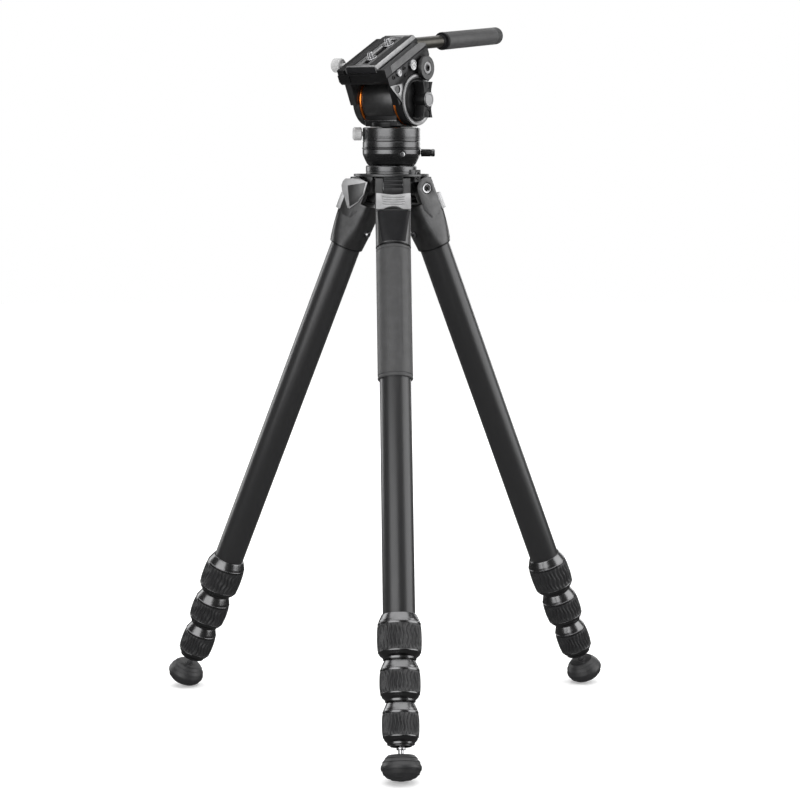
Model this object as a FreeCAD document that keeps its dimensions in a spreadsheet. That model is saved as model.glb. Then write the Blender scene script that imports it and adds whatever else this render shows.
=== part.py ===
"""Fluid head on a three-legged stand: carbon legs, levelling bowl, pan and tilt head, plate and pan handle.

Frame: +Z up, millimetres. The origin is the mouth of the hook thread under the crown, on the pan axis.
The front leg points along -Y, the other two at 120 degrees to it. All three stand at their first stop.
"""
import FreeCAD, Part
import Sketcher
import os
import re

doc = FreeCAD.newDocument("fluid_head_stand")

# Every driving size, in millimetres and degrees.
SIZES = {
    # edges and fits
    "bevel": 0.8,
    "fine_bevel": 0.3,
    "run_fit": 0.05,
    "free_gap": 0.35,
    # leg hinge
    "leg_spread": 23.03,
    "pivot_out": 33,
    "pivot_up": 5,
    "axis_inset": 4.25,
    "pin_r": 3,
    "pin_half": 15.4,
    "pin_head_r": 5.6,
    "pin_head_end": 17.8,
    "pin_seat_r": 6,
    # leg yoke
    "yoke_r": 18,
    "yoke_top": -13,
    "yoke_end": -64,
    "yoke_socket_top": -30,
    "cheek_r": 12,
    "slot_half": 10.35,
    "slot_floor": -12,
    "stop_face": 8.9,
    "stop_seat": -28.2,
    "shoulder_drop": 30,
    # angle stop
    "stop_back": 9.2,
    "stop_front": 14.4,
    "stop_pad_top": -10,
    "stop_pad_end": -27.9,
    "stop_finger_half": 9.8,
    "stop_finger_back": 10.5,
    "stop_finger_top": 7,
    # leg tubes
    "tube_a_r": 16,
    "tube_a_bore": 14.5,
    "tube_a_top": -30.2,
    "tube_a_end": -468,
    "tube_b_r": 14.2,
    "tube_b_bore": 12.7,
    "tube_b_top": -40,
    "tube_b_end": -509,
    "tube_c_r": 12.4,
    "tube_c_bore": 10.9,
    "tube_c_top": -60,
    "tube_c_end": -550,
    "tube_d_r": 10.6,
    "tube_d_bore": 9.1,
    "tube_d_top": -80,
    "tube_d_end": -575,
    "tube_d_plug": -562,
    # twist collars
    "collar_neck_drop": 3.2,
    "collar_tail_rise": 7,
    "collar_a_r": 22.1,
    "collar_a_neck": 16.6,
    "collar_a_top": -446,
    "collar_a_end": -491,
    "collar_b_r": 20.2,
    "collar_b_neck": 15.2,
    "collar_b_top": -491.5,
    "collar_b_end": -532,
    "collar_c_r": 18.35,
    "collar_c_neck": 13.6,
    "collar_c_top": -532.5,
    "collar_c_end": -573.4,
    "collar_step_gap": 0.4,
    # feet
    "stud_r": 2.8,
    "stud_top": -563,
    "stud_end": -592,
    "stud_flange_r": 4.4,
    "stud_flange_top": -575.3,
    "stud_flange_end": -578,
    "foot_top": -580,
    "foot_top_r": 13.5,
    "foot_shoulder": -585.5,
    "foot_shoulder_r": 18.8,
    "foot_waist": -591,
    "foot_r": 20,
    "foot_waist_end": -597,
    "foot_round": -603.5,
    "foot_round_r": 16.5,
    "foot_sole_r": 9,
    "foot_end": -608,
    # grip sleeve
    "grip_r": 18,
    "grip_top": -64.4,
    "grip_end": -205.5,
    # crown
    "crown_hub_r": 20,
    "crown_plate_low": 17.5,
    "crown_plate_top": 20,
    "crown_plate_r": 39.5,
    "crown_rim_r": 26.6,
    "crown_rim_top": 28.6,
    "spigot_r": 20,
    "spigot_low": 14,
    "tongue_half": 10,
    "tongue_r": 10,
    "hook_r": 3.97,
    "hook_deep": 10,
    "lug_out": 31,
    "lug_half": 6.5,
    "lug_low": 12,
    "lug_top": 24.5,
    "lug_hole_r": 2.55,
    "lug_hole_deep": 8,
    "lug_hole_up": 18.5,
    # levelling bowl
    "bowl_r": 30.4,
    "bowl_top": 46.4,
    "bowl_belt": 37.2,
    "bowl_shoulder": 32,
    "bowl_shoulder_r": 28.2,
    "bowl_foot": 28.8,
    "bowl_foot_r": 24.3,
    "ball_up": 66.7,
    "bowl_ball_r": 36,
    "liner_out_r": 35.7,
    "liner_in_r": 33.3,
    "liner_rim": 39.5,
    "liner_floor": 28,
    "level_ball_r": 33,
    "level_rim_low": 47.4,
    "level_rim_low_r": 29.9,
    "level_r": 30.2,
    "level_top": 53.6,
    "level_stud_r": 4.76,
    "level_stud_top": 60,
    # levelling lock and bowl screw
    "knob_a_r": 3.9,
    "knob_a_in": 31,
    "knob_a_out": 45.5,
    "knob_a_up": 42.1,
    "knob_a_stem_r": 2,
    "knob_a_root": 30.6,
    "bowl_screw_r": 2.8,
    "bowl_screw_in": 2,
    "bowl_screw_root": 28.4,
    "bowl_screw_out": 31.6,
    "bowl_screw_up": 40.6,
    "bowl_screw_turn": -71,
    # pan base
    "pan_r": 30.2,
    "pan_low": 53.9,
    "pan_top": 68.4,
    "pan_stud_top": 60.4,
    "spindle_r": 10,
    "spindle_low": 61,
    "pan_knob_r": 6.9,
    "pan_knob_in": 31.2,
    "pan_knob_out": 40.7,
    "pan_knob_up": 61.7,
    "pan_knob_stem_r": 2.5,
    "pan_knob_stem_in": 24,
    "pan_knob_turn": 182,
    # head body
    "head_turn": -37.32,
    "head_tilt": 26.4,
    "tilt_up": 97,
    "turntable_r": 22.6,
    "turntable_low": 68.8,
    "turntable_top": 74.5,
    "drum_r": 25.2,
    "drum_half": 22.8,
    "drum_foot_half": 21,
    "drum_foot_deep": 17,
    "drum_foot_top": 85,
    "axle_r": 8,
    "band_r": 27.2,
    "band_in": 20.4,
    "band_out": 22.6,
    # tilting frame
    "side_in": 23.2,
    "side_out": 31,
    "side_r": 27,
    "bed_left": -30.2,
    "bed_front": -38.2,
    "bed_back": 42,
    "bed_low": 34,
    "bed_top": 51,
    "bed_floor": 46.6,
    "web_front": -30,
    "web_back": 36,
    "port_r": 12.75,
    "port_back": 24.5,
    "port_up": 24.5,
    # plate
    "plate_half": 20.35,
    "plate_front": -35.9,
    "plate_back": 41.8,
    "plate_low": 46.9,
    "plate_top": 54.4,
    "plate_mid": 3,
    "plate_channel_half": 20.7,
    "pad_top": 55.1,
    "pad_in": 9.5,
    "pad_out": 17.5,
    "pad_inset": 4,
    "slot_half_long": 30,
    "slot_r": 3.4,
    "screw_head_r": 5.2,
    "screw_head_low": 47.3,
    "screw_head_top": 50,
    "screw_r": 3.17,
    "screw_top": 60.6,
    "screw_neck_r": 2.9,
    "screw_neck_top": 55.4,
    "screw_step": 17,
    "screw_seat_r": 5.5,
    # tilt drag ring and lock
    "drag_low": 31.3,
    "drag_top": 33.6,
    "drag_r": 26.8,
    "drag_bore": 19.2,
    "hub_r": 18.8,
    "hub_top": 33.2,
    "lever_low": 34.2,
    "lever_top": 46.2,
    "lever_hub_r": 8.2,
    "lever_long": 18.6,
    "lever_waist": 6,
    "cap_low": 46.6,
    "cap_top": 48.3,
    "cap_r": 8,
    "lever_stem_r": 3,
    "lever_stem_low": 24,
    "axle_end": 30.2,
    # plate lock, release button and accessory port
    "lock_r": 6.4,
    "lock_in": -40,
    "lock_out": -52.5,
    "lock_stem_r": 2.5,
    "lock_stem_in": -24,
    "lock_back": -12.9,
    "lock_up": 46,
    "button_r": 3,
    "button_in": -25,
    "button_out": -32.6,
    "button_back": 8,
    "port_neck_r": 6.5,
    "port_low": 33.9,
    "port_top": 38.4,
    # pan handle
    "arm_mid": -44,
    "arm_r": 6.75,
    "arm_eye_r": 12,
    "arm_eye_in": -38.8,
    "arm_eye_out": -50,
    "arm_first_long": 79.2,
    "arm_first_drop": -5.6,
    "arm_second_drop": -15.5,
    "bolt_r": 3,
    "bolt_head_r": 6,
    "bolt_head_in": -50.3,
    "bolt_head_out": -54,
    "bolt_in": -26,
    "hold_r": 9.8,
    "hold_start": 70.2,
    "hold_socket": 40,
    "hold_end": 191.4,
    "hold_round": 3.6,
}

sheet = doc.addObject("Spreadsheet::Sheet", "Dims")
for row, (alias, size) in enumerate(SIZES.items(), start=1):
    sheet.set("A%d" % row, alias)
    sheet.set("B%d" % row, str(size))
    sheet.setAlias("B%d" % row, alias)
doc.recompute()

HOME = "placement(vector(0; 0; 0); rotation(vector(0; 0; 1); 0))"
finished = []


def bound(text):
    """The same expression with every size name pointing at the sheet."""
    return re.sub(r"\b(?!placement\b|vector\b|rotation\b)([a-z][a-z_]+)\b", r"Dims.\1", text)


def shift(x="0", y="0", z="0"):
    return "placement(vector(%s; %s; %s); rotation(vector(0; 0; 1); 0))" % (x, y, z)


def spin(axis, angle):
    return "placement(vector(0; 0; 0); rotation(vector(%s); %s))" % (axis, angle)


ABOUT_X = "1; 0; 0"
ABOUT_Y = "0; 1; 0"
ABOUT_Z = "0; 0; 1"


def placed(thing, *steps):
    """Put a thing where a chain of placement expressions says."""
    thing.setExpression("Placement", bound(" * ".join(steps or (HOME,))))
    return thing


def keep(label, thing):
    thing.Label = label
    finished.append(thing)
    return thing


def turned(label, outline, *where):
    """A body turned about its own Z axis from an outline of (radius, height) expressions."""
    body = doc.addObject("PartDesign::Body", label)
    sketch = body.newObject("Sketcher::SketchObject", label + "_outline")
    plane = [part for part in body.Origin.OriginFeatures if part.Role == "XZ_Plane"][0]
    sketch.AttachmentSupport = [(plane, "")]
    sketch.MapMode = "FlatFace"
    exact = [(bound(r), bound(z)) for r, z in outline]
    spots = [(float(sketch.evalExpression(r)), float(sketch.evalExpression(z))) for r, z in exact]
    total = len(spots)
    for index in range(total):
        start = FreeCAD.Vector(*spots[index], 0)
        end = FreeCAD.Vector(*spots[(index + 1) % total], 0)
        sketch.addGeometry(Part.LineSegment(start, end), False)
    for index in range(total):
        sketch.addConstraint(Sketcher.Constraint("Coincident", index, 2, (index + 1) % total, 1))
    for index in range(total):
        for way, value, expression in zip(("DistanceX", "DistanceY"), spots[index], exact[index]):
            number = sketch.addConstraint(Sketcher.Constraint(way, -1, 1, index, 1, value))
            sketch.setExpression("Constraints[%d]" % number, expression)
    turn = body.newObject("PartDesign::Revolution", label + "_turn")
    turn.Profile = sketch
    turn.ReferenceAxis = (sketch, ["V_Axis"])
    turn.Angle = 360
    return placed(body, *where)


def block(label, low, high, *where):
    """A box between two corners of (x, y, z) expressions."""
    box = doc.addObject("Part::Box", label)
    for side, a, b in zip(("Length", "Width", "Height"), low, high):
        box.setExpression(side, bound("(%s) - (%s)" % (b, a)))
    return placed(box, *where, shift(*low))


def rod(label, radius, low, high, *where):
    """A plain round rod along its own Z axis."""
    cylinder = doc.addObject("Part::Cylinder", label)
    cylinder.setExpression("Radius", bound(radius))
    cylinder.setExpression("Height", bound("(%s) - (%s)" % (high, low)))
    return placed(cylinder, *where, shift("0", "0", low))


def ball(label, radius, *where):
    sphere = doc.addObject("Part::Sphere", label)
    sphere.setExpression("Radius", bound(radius))
    return placed(sphere, *where)


def joined(label, pieces, *where):
    union = doc.addObject("Part::MultiFuse", label)
    union.Shapes = pieces
    union.Refine = True
    return placed(union, *where)


def cut(label, base, tools, *where):
    """A base with one or more tools taken away."""
    result = doc.addObject("Part::Cut", label)
    result.Base = base
    result.Tool = tools[0] if len(tools) == 1 else joined(label + "_tools", tools)
    result.Refine = True
    return placed(result, *where)


def shared(label, first, second, *where):
    common = doc.addObject("Part::Common", label)
    common.Base = first
    common.Tool = second
    return placed(common, *where)


def disc(radius, low, high, edge="bevel"):
    """Outline of a solid disc with both outer edges bevelled."""
    return [
        ("0", low),
        ("%s - %s" % (radius, edge), low),
        (radius, "%s + %s" % (low, edge)),
        (radius, "%s - %s" % (high, edge)),
        ("%s - %s" % (radius, edge), high),
        ("0", high),
    ]


def sleeve(bore, radius, low, high, edge="fine_bevel"):
    """Outline of a sleeve with both outer edges bevelled."""
    return [(bore, low)] + disc(radius, low, high, edge)[1:-1] + [(bore, high)]


def collar(radius, neck, top, end, outer_tube, inner_tube, seat):
    """Outline of a twist collar: wide bore on the outer tube, narrow bore round the inner one."""
    return [
        ("%s + run_fit" % outer_tube, top),
        ("%s - collar_neck_drop" % radius, top),
        (radius, "%s - collar_neck_drop" % top),
        (radius, "%s + collar_tail_rise" % end),
        (neck, "%s + bevel" % end),
        (neck, end),
        ("%s + free_gap" % inner_tube, end),
        ("%s + free_gap" % inner_tube, "%s - collar_step_gap" % seat),
        ("%s + run_fit" % outer_tube, "%s - collar_step_gap" % seat),
    ]


def leg_yoke(name, frame, axis):
    """The casting that holds the top tube and swings on the hinge pin."""
    barrel = rod(name + "_barrel", "yoke_r", "yoke_end", "yoke_top", *axis)
    eye = rod(
        name + "_eye",
        "cheek_r",
        "-yoke_r",
        "yoke_r",
        spin(ABOUT_X, "90"),
    )
    shoulders = block(
        name + "_shoulders",
        ("-cheek_r", "-yoke_r", "-shoulder_drop"),
        ("cheek_r", "yoke_r", "0"),
    )
    outside = joined(name + "_outside", [barrel, eye, shoulders])
    slot = block(
        name + "_slot",
        ("-yoke_r * 2", "-slot_half", "slot_floor"),
        ("yoke_r * 2", "slot_half", "yoke_r"),
    )
    flat = block(
        name + "_flat",
        ("stop_face", "-yoke_r * 2", "stop_seat"),
        ("yoke_r * 2", "yoke_r * 2", "yoke_r"),
    )
    socket = rod(name + "_socket", "tube_a_r + run_fit", "yoke_end * 2", "yoke_socket_top", *axis)
    pin_hole = rod(name + "_pin_hole", "pin_r + run_fit", "-yoke_r * 2", "yoke_r * 2", spin(ABOUT_X, "90"))
    seat_a = rod(name + "_seat_a", "pin_seat_r", "pin_half - fine_bevel", "yoke_r * 2", spin(ABOUT_X, "90"))
    seat_b = rod(name + "_seat_b", "pin_seat_r", "pin_half - fine_bevel", "yoke_r * 2", spin(ABOUT_X, "-90"))
    return cut(name, outside, [slot, flat, socket, pin_hole, seat_a, seat_b], *frame)


def angle_stop(name, frame):
    """The sliding stop whose finger bears on the crown plate."""
    pad = block(
        name + "_pad",
        ("stop_back", "-yoke_r", "stop_pad_end"),
        ("stop_front", "yoke_r", "stop_pad_top"),
    )
    finger = block(
        name + "_finger",
        ("stop_finger_back", "-stop_finger_half", "stop_pad_top - bevel"),
        ("stop_front", "stop_finger_half", "stop_finger_top"),
    )
    return joined(name, [pad, finger], *frame)


# The three legs.
LEGS = {"front": "-90", "right": "30", "left": "150"}
for side, heading in LEGS.items():
    prefix = "leg_%s_" % side
    frame = (
        spin(ABOUT_Z, heading),
        shift("pivot_out", "0", "pivot_up"),
        spin(ABOUT_Y, "-leg_spread"),
    )
    axis = (shift("-axis_inset"),)
    on_axis = frame + axis
    keep(prefix + "yoke", leg_yoke(prefix + "yoke", frame, axis))
    keep(prefix + "angle_stop", angle_stop(prefix + "angle_stop", frame))
    for level in ("a", "b", "c"):
        tube = "tube_%s" % level
        outline = sleeve(tube + "_bore", tube + "_r", tube + "_end", tube + "_top")
        keep(prefix + tube, turned(prefix + tube, outline, *on_axis))
    plug = [
        ("stud_r", "tube_d_end"),
        ("tube_d_r", "tube_d_end"),
        ("tube_d_r", "tube_d_top"),
        ("tube_d_bore", "tube_d_top"),
        ("tube_d_bore", "tube_d_plug"),
        ("stud_r", "tube_d_plug"),
    ]
    keep(prefix + "tube_d", turned(prefix + "tube_d", plug, *on_axis))
    for level, inner in (("a", "b"), ("b", "c"), ("c", "d")):
        name = prefix + "collar_%s" % level
        size = "collar_%s_" % level
        outline = collar(
            size + "r",
            size + "neck",
            size + "top",
            size + "end",
            "tube_%s_r" % level,
            "tube_%s_r" % inner,
            "tube_%s_end" % level,
        )
        keep(name, turned(name, outline, *on_axis))
    stud = [
        ("0", "stud_end"),
        ("stud_r", "stud_end"),
        ("stud_r", "stud_flange_end"),
        ("stud_flange_r", "stud_flange_end"),
        ("stud_flange_r", "stud_flange_top"),
        ("stud_r", "stud_flange_top"),
        ("stud_r", "stud_top"),
        ("0", "stud_top"),
    ]
    keep(prefix + "foot_stud", turned(prefix + "foot_stud", stud, *on_axis))
    foot = [
        ("0", "foot_end"),
        ("foot_sole_r", "foot_end"),
        ("foot_round_r", "foot_round"),
        ("foot_r", "foot_waist_end"),
        ("foot_r", "foot_waist"),
        ("foot_shoulder_r", "foot_shoulder"),
        ("foot_top_r", "foot_top"),
        ("stud_r", "foot_top"),
        ("stud_r", "stud_end"),
        ("0", "stud_end"),
    ]
    keep(prefix + "foot", turned(prefix + "foot", foot, *on_axis))
    if side == "front":
        outline = sleeve("tube_a_r", "grip_r", "grip_end", "grip_top")
        keep(prefix + "grip_sleeve", turned(prefix + "grip_sleeve", outline, *on_axis))

# The crown, its hinge bolts and its two threads.
hub = turned(
    "crown_hub",
    [
        ("0", "0"),
        ("crown_hub_r", "0"),
        ("crown_hub_r", "crown_plate_low"),
        ("crown_plate_r - fine_bevel", "crown_plate_low"),
        ("crown_plate_r", "crown_plate_low + fine_bevel"),
        ("crown_plate_r", "crown_plate_top - fine_bevel"),
        ("crown_plate_r - fine_bevel", "crown_plate_top"),
        ("crown_rim_r", "crown_plate_top"),
        ("crown_rim_r", "crown_rim_top - bevel"),
        ("crown_rim_r - bevel", "crown_rim_top"),
        ("0", "crown_rim_top"),
    ],
)
crown_solids = [hub]
hinge_holes = []
hinge_bolts = []
for side, heading in LEGS.items():
    turn = (spin(ABOUT_Z, heading),)
    pivot = turn + (shift("pivot_out", "0", "pivot_up"), spin(ABOUT_X, "90"))
    arm = block(
        "tongue_arm_" + side,
        ("hook_r * 2", "-tongue_half", "0"),
        ("pivot_out", "tongue_half", "crown_plate_low + fine_bevel"),
        *turn,
    )
    end = rod("tongue_end_" + side, "tongue_r", "-tongue_half", "tongue_half", *pivot)
    crown_solids += [arm, end]
    hinge_holes.append(rod("hinge_hole_" + side, "pin_r", "-yoke_r", "yoke_r", *pivot))
    shank = rod("hinge_shank_" + side, "pin_r", "-pin_half", "pin_half", *pivot)
    head_a = rod("hinge_head_a_" + side, "pin_head_r", "pin_half", "pin_head_end", *pivot)
    head_b = rod("hinge_head_b_" + side, "pin_head_r", "-pin_head_end", "-pin_half", *pivot)
    hinge_bolts.append(joined("hinge_bolt_" + side, [shank, head_a, head_b]))
lug_turn = (spin(ABOUT_Z, "-30"),)
crown_solids.append(
    block(
        "crown_lug",
        ("hook_r * 2", "-lug_half", "lug_low"),
        ("lug_out", "lug_half", "lug_top"),
        *lug_turn,
    )
)
hook_hole = rod("hook_hole", "hook_r", "-hook_deep", "hook_deep")
lug_hole = rod(
    "lug_hole",
    "lug_hole_r",
    "lug_out - lug_hole_deep",
    "lug_out + bevel",
    *lug_turn,
    shift("0", "0", "lug_hole_up"),
    spin(ABOUT_Y, "90"),
)
plate_notch = block(
    "plate_notch",
    ("lug_out", "-lug_half", "lug_low"),
    ("crown_plate_r + bevel", "lug_half", "lug_top"),
    *lug_turn,
)
spigot_room = rod("spigot_room", "spigot_r + run_fit", "spigot_low", "crown_rim_top + bevel")
crown_body = joined("crown_body", crown_solids)
keep("crown", cut("crown", crown_body, hinge_holes + [hook_hole, lug_hole, plate_notch, spigot_room]))
bolts = doc.addObject("Part::Compound", "hinge_bolts")
bolts.Links = hinge_bolts
keep("hinge_bolts", bolts)

# The levelling bowl, its liner and the platform that rides in it.
ball_centre = shift("0", "0", "ball_up")
bowl_blank = turned(
    "bowl_blank",
    [
        ("0", "spigot_low + free_gap"),
        ("spigot_r", "spigot_low + free_gap"),
        ("spigot_r", "bowl_foot"),
        ("bowl_foot_r", "bowl_foot"),
        ("bowl_shoulder_r", "bowl_shoulder"),
        ("bowl_r", "bowl_belt"),
        ("bowl_r", "bowl_top - fine_bevel"),
        ("bowl_r - fine_bevel", "bowl_top"),
        ("0", "bowl_top"),
    ],
)
bowl_room = ball("bowl_room", "bowl_ball_r", ball_centre)
knob_a_where = (shift("0", "0", "knob_a_up"), spin(ABOUT_Y, "90"))
knob_a_hole = rod("knob_a_hole", "knob_a_stem_r + run_fit", "level_stud_r", "bowl_r * 2", *knob_a_where)
bowl_screw_where = (spin(ABOUT_Z, "bowl_screw_turn"), shift("0", "0", "bowl_screw_up"), spin(ABOUT_Y, "90"))
bowl_screw_hole = rod("bowl_screw_hole", "bowl_screw_in", "bowl_screw_root", "bowl_r * 2", *bowl_screw_where)
bowl_screw_seat = rod(
    "bowl_screw_seat", "bowl_screw_r + run_fit", "bowl_screw_root + bevel", "bowl_r * 2", *bowl_screw_where
)
keep("level_bowl", cut("level_bowl", bowl_blank, [bowl_room, knob_a_hole, bowl_screw_seat]))
keep(
    "bowl_screw",
    rod("bowl_screw", "bowl_screw_r", "bowl_screw_root + bevel", "bowl_screw_out", *bowl_screw_where),
)
liner_ball = ball("liner_ball", "liner_out_r", ball_centre)
liner_slice = rod("liner_slice", "bowl_r", "liner_floor", "liner_rim")
liner_room = ball("liner_room", "liner_in_r", ball_centre)
liner_cap = shared("liner_cap", liner_ball, liner_slice)
keep("level_liner", cut("level_liner", liner_cap, [liner_room]))
platform_ball = ball("platform_ball", "level_ball_r", ball_centre)
platform_slice = rod("platform_slice", "bowl_r", "liner_floor", "level_rim_low + bevel")
platform_belly = shared("platform_belly", platform_ball, platform_slice)
platform_disc = turned(
    "platform_disc",
    [
        ("0", "level_rim_low"),
        ("level_rim_low_r", "level_rim_low"),
        ("level_r", "level_rim_low + fine_bevel"),
        ("level_r", "level_top - fine_bevel"),
        ("level_r - fine_bevel", "level_top"),
        ("level_stud_r", "level_top"),
        ("level_stud_r", "level_stud_top"),
        ("0", "level_stud_top"),
    ],
)
keep("level_platform", joined("level_platform", [platform_belly, platform_disc]))
knob_a = turned(
    "level_lock_knob",
    [
        ("0", "knob_a_root"),
        ("knob_a_stem_r", "knob_a_root"),
        ("knob_a_stem_r", "knob_a_in"),
        ("knob_a_r", "knob_a_in"),
        ("knob_a_r", "knob_a_out - fine_bevel"),
        ("knob_a_r - fine_bevel", "knob_a_out"),
        ("0", "knob_a_out"),
    ],
    *knob_a_where,
)
keep("level_lock_knob", knob_a)

# The pan base with its lock.
pan_knob_where = (spin(ABOUT_Z, "pan_knob_turn"), shift("0", "0", "pan_knob_up"), spin(ABOUT_Y, "90"))
pan_blank = turned(
    "pan_blank",
    [
        ("level_stud_r", "pan_low"),
        ("pan_r - fine_bevel", "pan_low"),
        ("pan_r", "pan_low + fine_bevel"),
        ("pan_r", "pan_top - bevel"),
        ("pan_r - bevel", "pan_top"),
        ("spindle_r + run_fit", "pan_top"),
        ("spindle_r + run_fit", "pan_stud_top"),
        ("level_stud_r", "pan_stud_top"),
    ],
)
pan_knob_hole = rod(
    "pan_knob_hole", "pan_knob_stem_r + run_fit", "pan_knob_stem_in - bevel", "pan_r * 2", *pan_knob_where
)
keep("pan_base", cut("pan_base", pan_blank, [pan_knob_hole]))
keep(
    "pan_lock_knob",
    turned(
        "pan_lock_knob",
        [
            ("0", "pan_knob_stem_in"),
            ("pan_knob_stem_r", "pan_knob_stem_in"),
            ("pan_knob_stem_r", "pan_knob_in"),
            ("pan_knob_r - bevel", "pan_knob_in"),
            ("pan_knob_r", "pan_knob_in + bevel"),
            ("pan_knob_r", "pan_knob_out - bevel * 2"),
            ("pan_knob_r - bevel * 2", "pan_knob_out"),
            ("0", "pan_knob_out"),
        ],
        *pan_knob_where,
    ),
)

# The head body, the two bands and the tilt axle.
head = (spin(ABOUT_Z, "head_turn"),)
tilt = head + (shift("0", "0", "tilt_up"), spin(ABOUT_X, "head_tilt"))
across = (spin(ABOUT_Y, "90"),)
turntable = turned(
    "turntable",
    [
        ("0", "spindle_low"),
        ("spindle_r", "spindle_low"),
        ("spindle_r", "turntable_low"),
        ("turntable_r - fine_bevel", "turntable_low"),
        ("turntable_r", "turntable_low + fine_bevel"),
        ("turntable_r", "turntable_top - bevel"),
        ("turntable_r - bevel", "turntable_top"),
        ("0", "turntable_top"),
    ],
)
drum_where = head + (shift("0", "0", "tilt_up"),) + across
drum = rod("drum", "drum_r", "-drum_half", "drum_half", *drum_where)
drum_foot = block(
    "drum_foot",
    ("-drum_foot_half", "-drum_foot_deep", "turntable_top - bevel"),
    ("drum_foot_half", "drum_foot_deep", "drum_foot_top"),
    *head,
)
axle_hole = rod("axle_hole", "axle_r + run_fit", "-side_out", "side_out", *drum_where)
body_solid = joined("body_solid", [turntable, drum, drum_foot])
band_rooms = [
    turned("band_room_a", sleeve("drum_r", "side_r * 2", "band_in", "band_out"), *drum_where),
    turned("band_room_b", sleeve("drum_r", "side_r * 2", "-band_out", "-band_in"), *drum_where),
]
keep("head_body", cut("head_body", body_solid, [axle_hole] + band_rooms))
bands = doc.addObject("Part::Compound", "drum_bands")
bands.Links = [
    turned("band_a", sleeve("drum_r", "band_r", "band_in", "band_out"), *drum_where),
    turned("band_b", sleeve("drum_r", "band_r", "-band_out", "-band_in"), *drum_where),
]
keep("drum_bands", bands)
axle_bar = rod("axle_bar", "axle_r", "-axle_end", "axle_end", *across)
axle_thread = rod("axle_thread", "lever_stem_r + run_fit", "lever_stem_low", "side_out", *across)
keep("tilt_axle", cut("tilt_axle", axle_bar, [axle_thread], *tilt))

# The tilting frame: bed, right side and bolted left side.
bed = block("bed", ("bed_left", "bed_front", "bed_low"), ("side_out", "bed_back", "bed_top"))
right_disc = rod("right_disc", "side_r", "side_in", "side_out", *across)
right_port = rod("right_port", "port_r", "side_in", "side_out", shift("0", "port_back", "port_up"), *across)
port_hole = rod("port_hole", "bolt_r + run_fit", "0", "side_out * 2", shift("0", "port_back", "port_up"), *across)
right_web = block("right_web", ("side_in", "web_front", "axle_r"), ("side_out", "web_back - port_r / 2", "bed_low + bevel"))
channel = block(
    "channel",
    ("-plate_channel_half", "bed_front * 2", "bed_floor"),
    ("plate_channel_half", "bed_back * 2", "bed_top + bevel"),
)
side_axle_hole = rod("side_axle_hole", "axle_r", "-side_out * 2", "axle_end", *across)
lock_where = (shift("0", "lock_back", "lock_up"),) + across
lock_hole = rod("lock_hole", "lock_stem_r + run_fit", "bed_left * 2", "lock_stem_in + bevel", *lock_where)
button_where = (shift("0", "button_back", "lock_up"),) + across
button_hole = rod("button_hole", "button_r + run_fit", "bed_left * 2", "button_in + bevel * 3", *button_where)
drag_where = tilt + across
stem_hole = rod("stem_hole", "lever_stem_r + run_fit", "lever_stem_low", "side_out * 2", *across)
right_hub = rod("right_hub", "hub_r", "side_in", "hub_top", *across)
frame_solid = joined("frame_solid", [bed, right_disc, right_hub, right_port, right_web])
keep(
    "tilt_frame",
    cut("tilt_frame", frame_solid, [channel, side_axle_hole, lock_hole, button_hole, stem_hole, port_hole], *tilt),
)
left_disc = rod("left_disc", "side_r", "-side_out", "-side_in", *across)
left_port = rod("left_port", "port_r", "-side_out", "-side_in", shift("0", "port_back", "port_up"), *across)
left_web = block(
    "left_web",
    ("-side_out", "web_front", "axle_r"),
    ("-side_in", "web_back - port_r / 2", "bed_low"),
)
left_trim = block(
    "left_trim",
    ("-side_out * 2", "bed_front * 2", "bed_low"),
    ("0", "bed_back * 2", "bed_top * 2"),
)
left_axle_hole = rod("left_axle_hole", "axle_r", "-axle_end", "0", *across)
bolt_where = (shift("0", "port_back", "port_up"),) + across
left_bolt_hole = rod("left_bolt_hole", "bolt_r + run_fit", "-side_out * 2", "0", *bolt_where)
left_solid = joined("left_solid", [left_disc, left_port, left_web])
keep("left_side", cut("left_side", left_solid, [left_trim, left_axle_hole, left_bolt_hole], *tilt))

# Tilt drag ring, tilt lock and its cap.
keep("tilt_drag_ring", turned("tilt_drag_ring", sleeve("drag_bore", "drag_r", "drag_low", "drag_top", "bevel"), *drag_where))
lever_hub = rod("lever_hub", "lever_hub_r", "lever_low", "lever_top", *across)
lever_bar = block(
    "lever_bar",
    ("lever_low", "-lever_waist", "-lever_long"),
    ("lever_top", "lever_waist", "lever_long"),
)
lever_stem = rod("lever_stem", "lever_stem_r", "lever_stem_low + bevel", "lever_top", *across)
lever_upright = spin(ABOUT_X, "-head_tilt")
keep("tilt_lock_lever", joined("tilt_lock_lever", [lever_hub, lever_bar, lever_stem], *tilt, lever_upright))
keep("lever_cap", turned("lever_cap", disc("cap_r", "cap_low - free_gap", "cap_top", "bevel"), *drag_where))

# The plate, its pads and camera screws.
plate_blank = block("plate_blank", ("-plate_half", "plate_front", "plate_low"), ("plate_half", "plate_back", "plate_top"))
plate_slot = block(
    "plate_slot",
    ("-slot_r", "plate_mid - slot_half_long", "plate_low - bevel"),
    ("slot_r", "plate_mid + slot_half_long", "plate_top + bevel"),
)
plate_trough = block(
    "plate_trough",
    ("-screw_seat_r", "plate_mid - slot_half_long - screw_seat_r / 2", "plate_low - bevel"),
    ("screw_seat_r", "plate_mid + slot_half_long + screw_seat_r / 2", "screw_head_top + fine_bevel"),
)
keep("plate", cut("plate", plate_blank, [plate_slot, plate_trough], *tilt))
pads = doc.addObject("Part::Compound", "plate_pads")
pads.Links = [
    block("pad_a", ("pad_in", "plate_front + pad_inset", "plate_top"), ("pad_out", "plate_back - pad_inset", "pad_top"), *tilt),
    block("pad_b", ("-pad_out", "plate_front + pad_inset", "plate_top"), ("-pad_in", "plate_back - pad_inset", "pad_top"), *tilt),
]
keep("plate_pads", pads)


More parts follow.
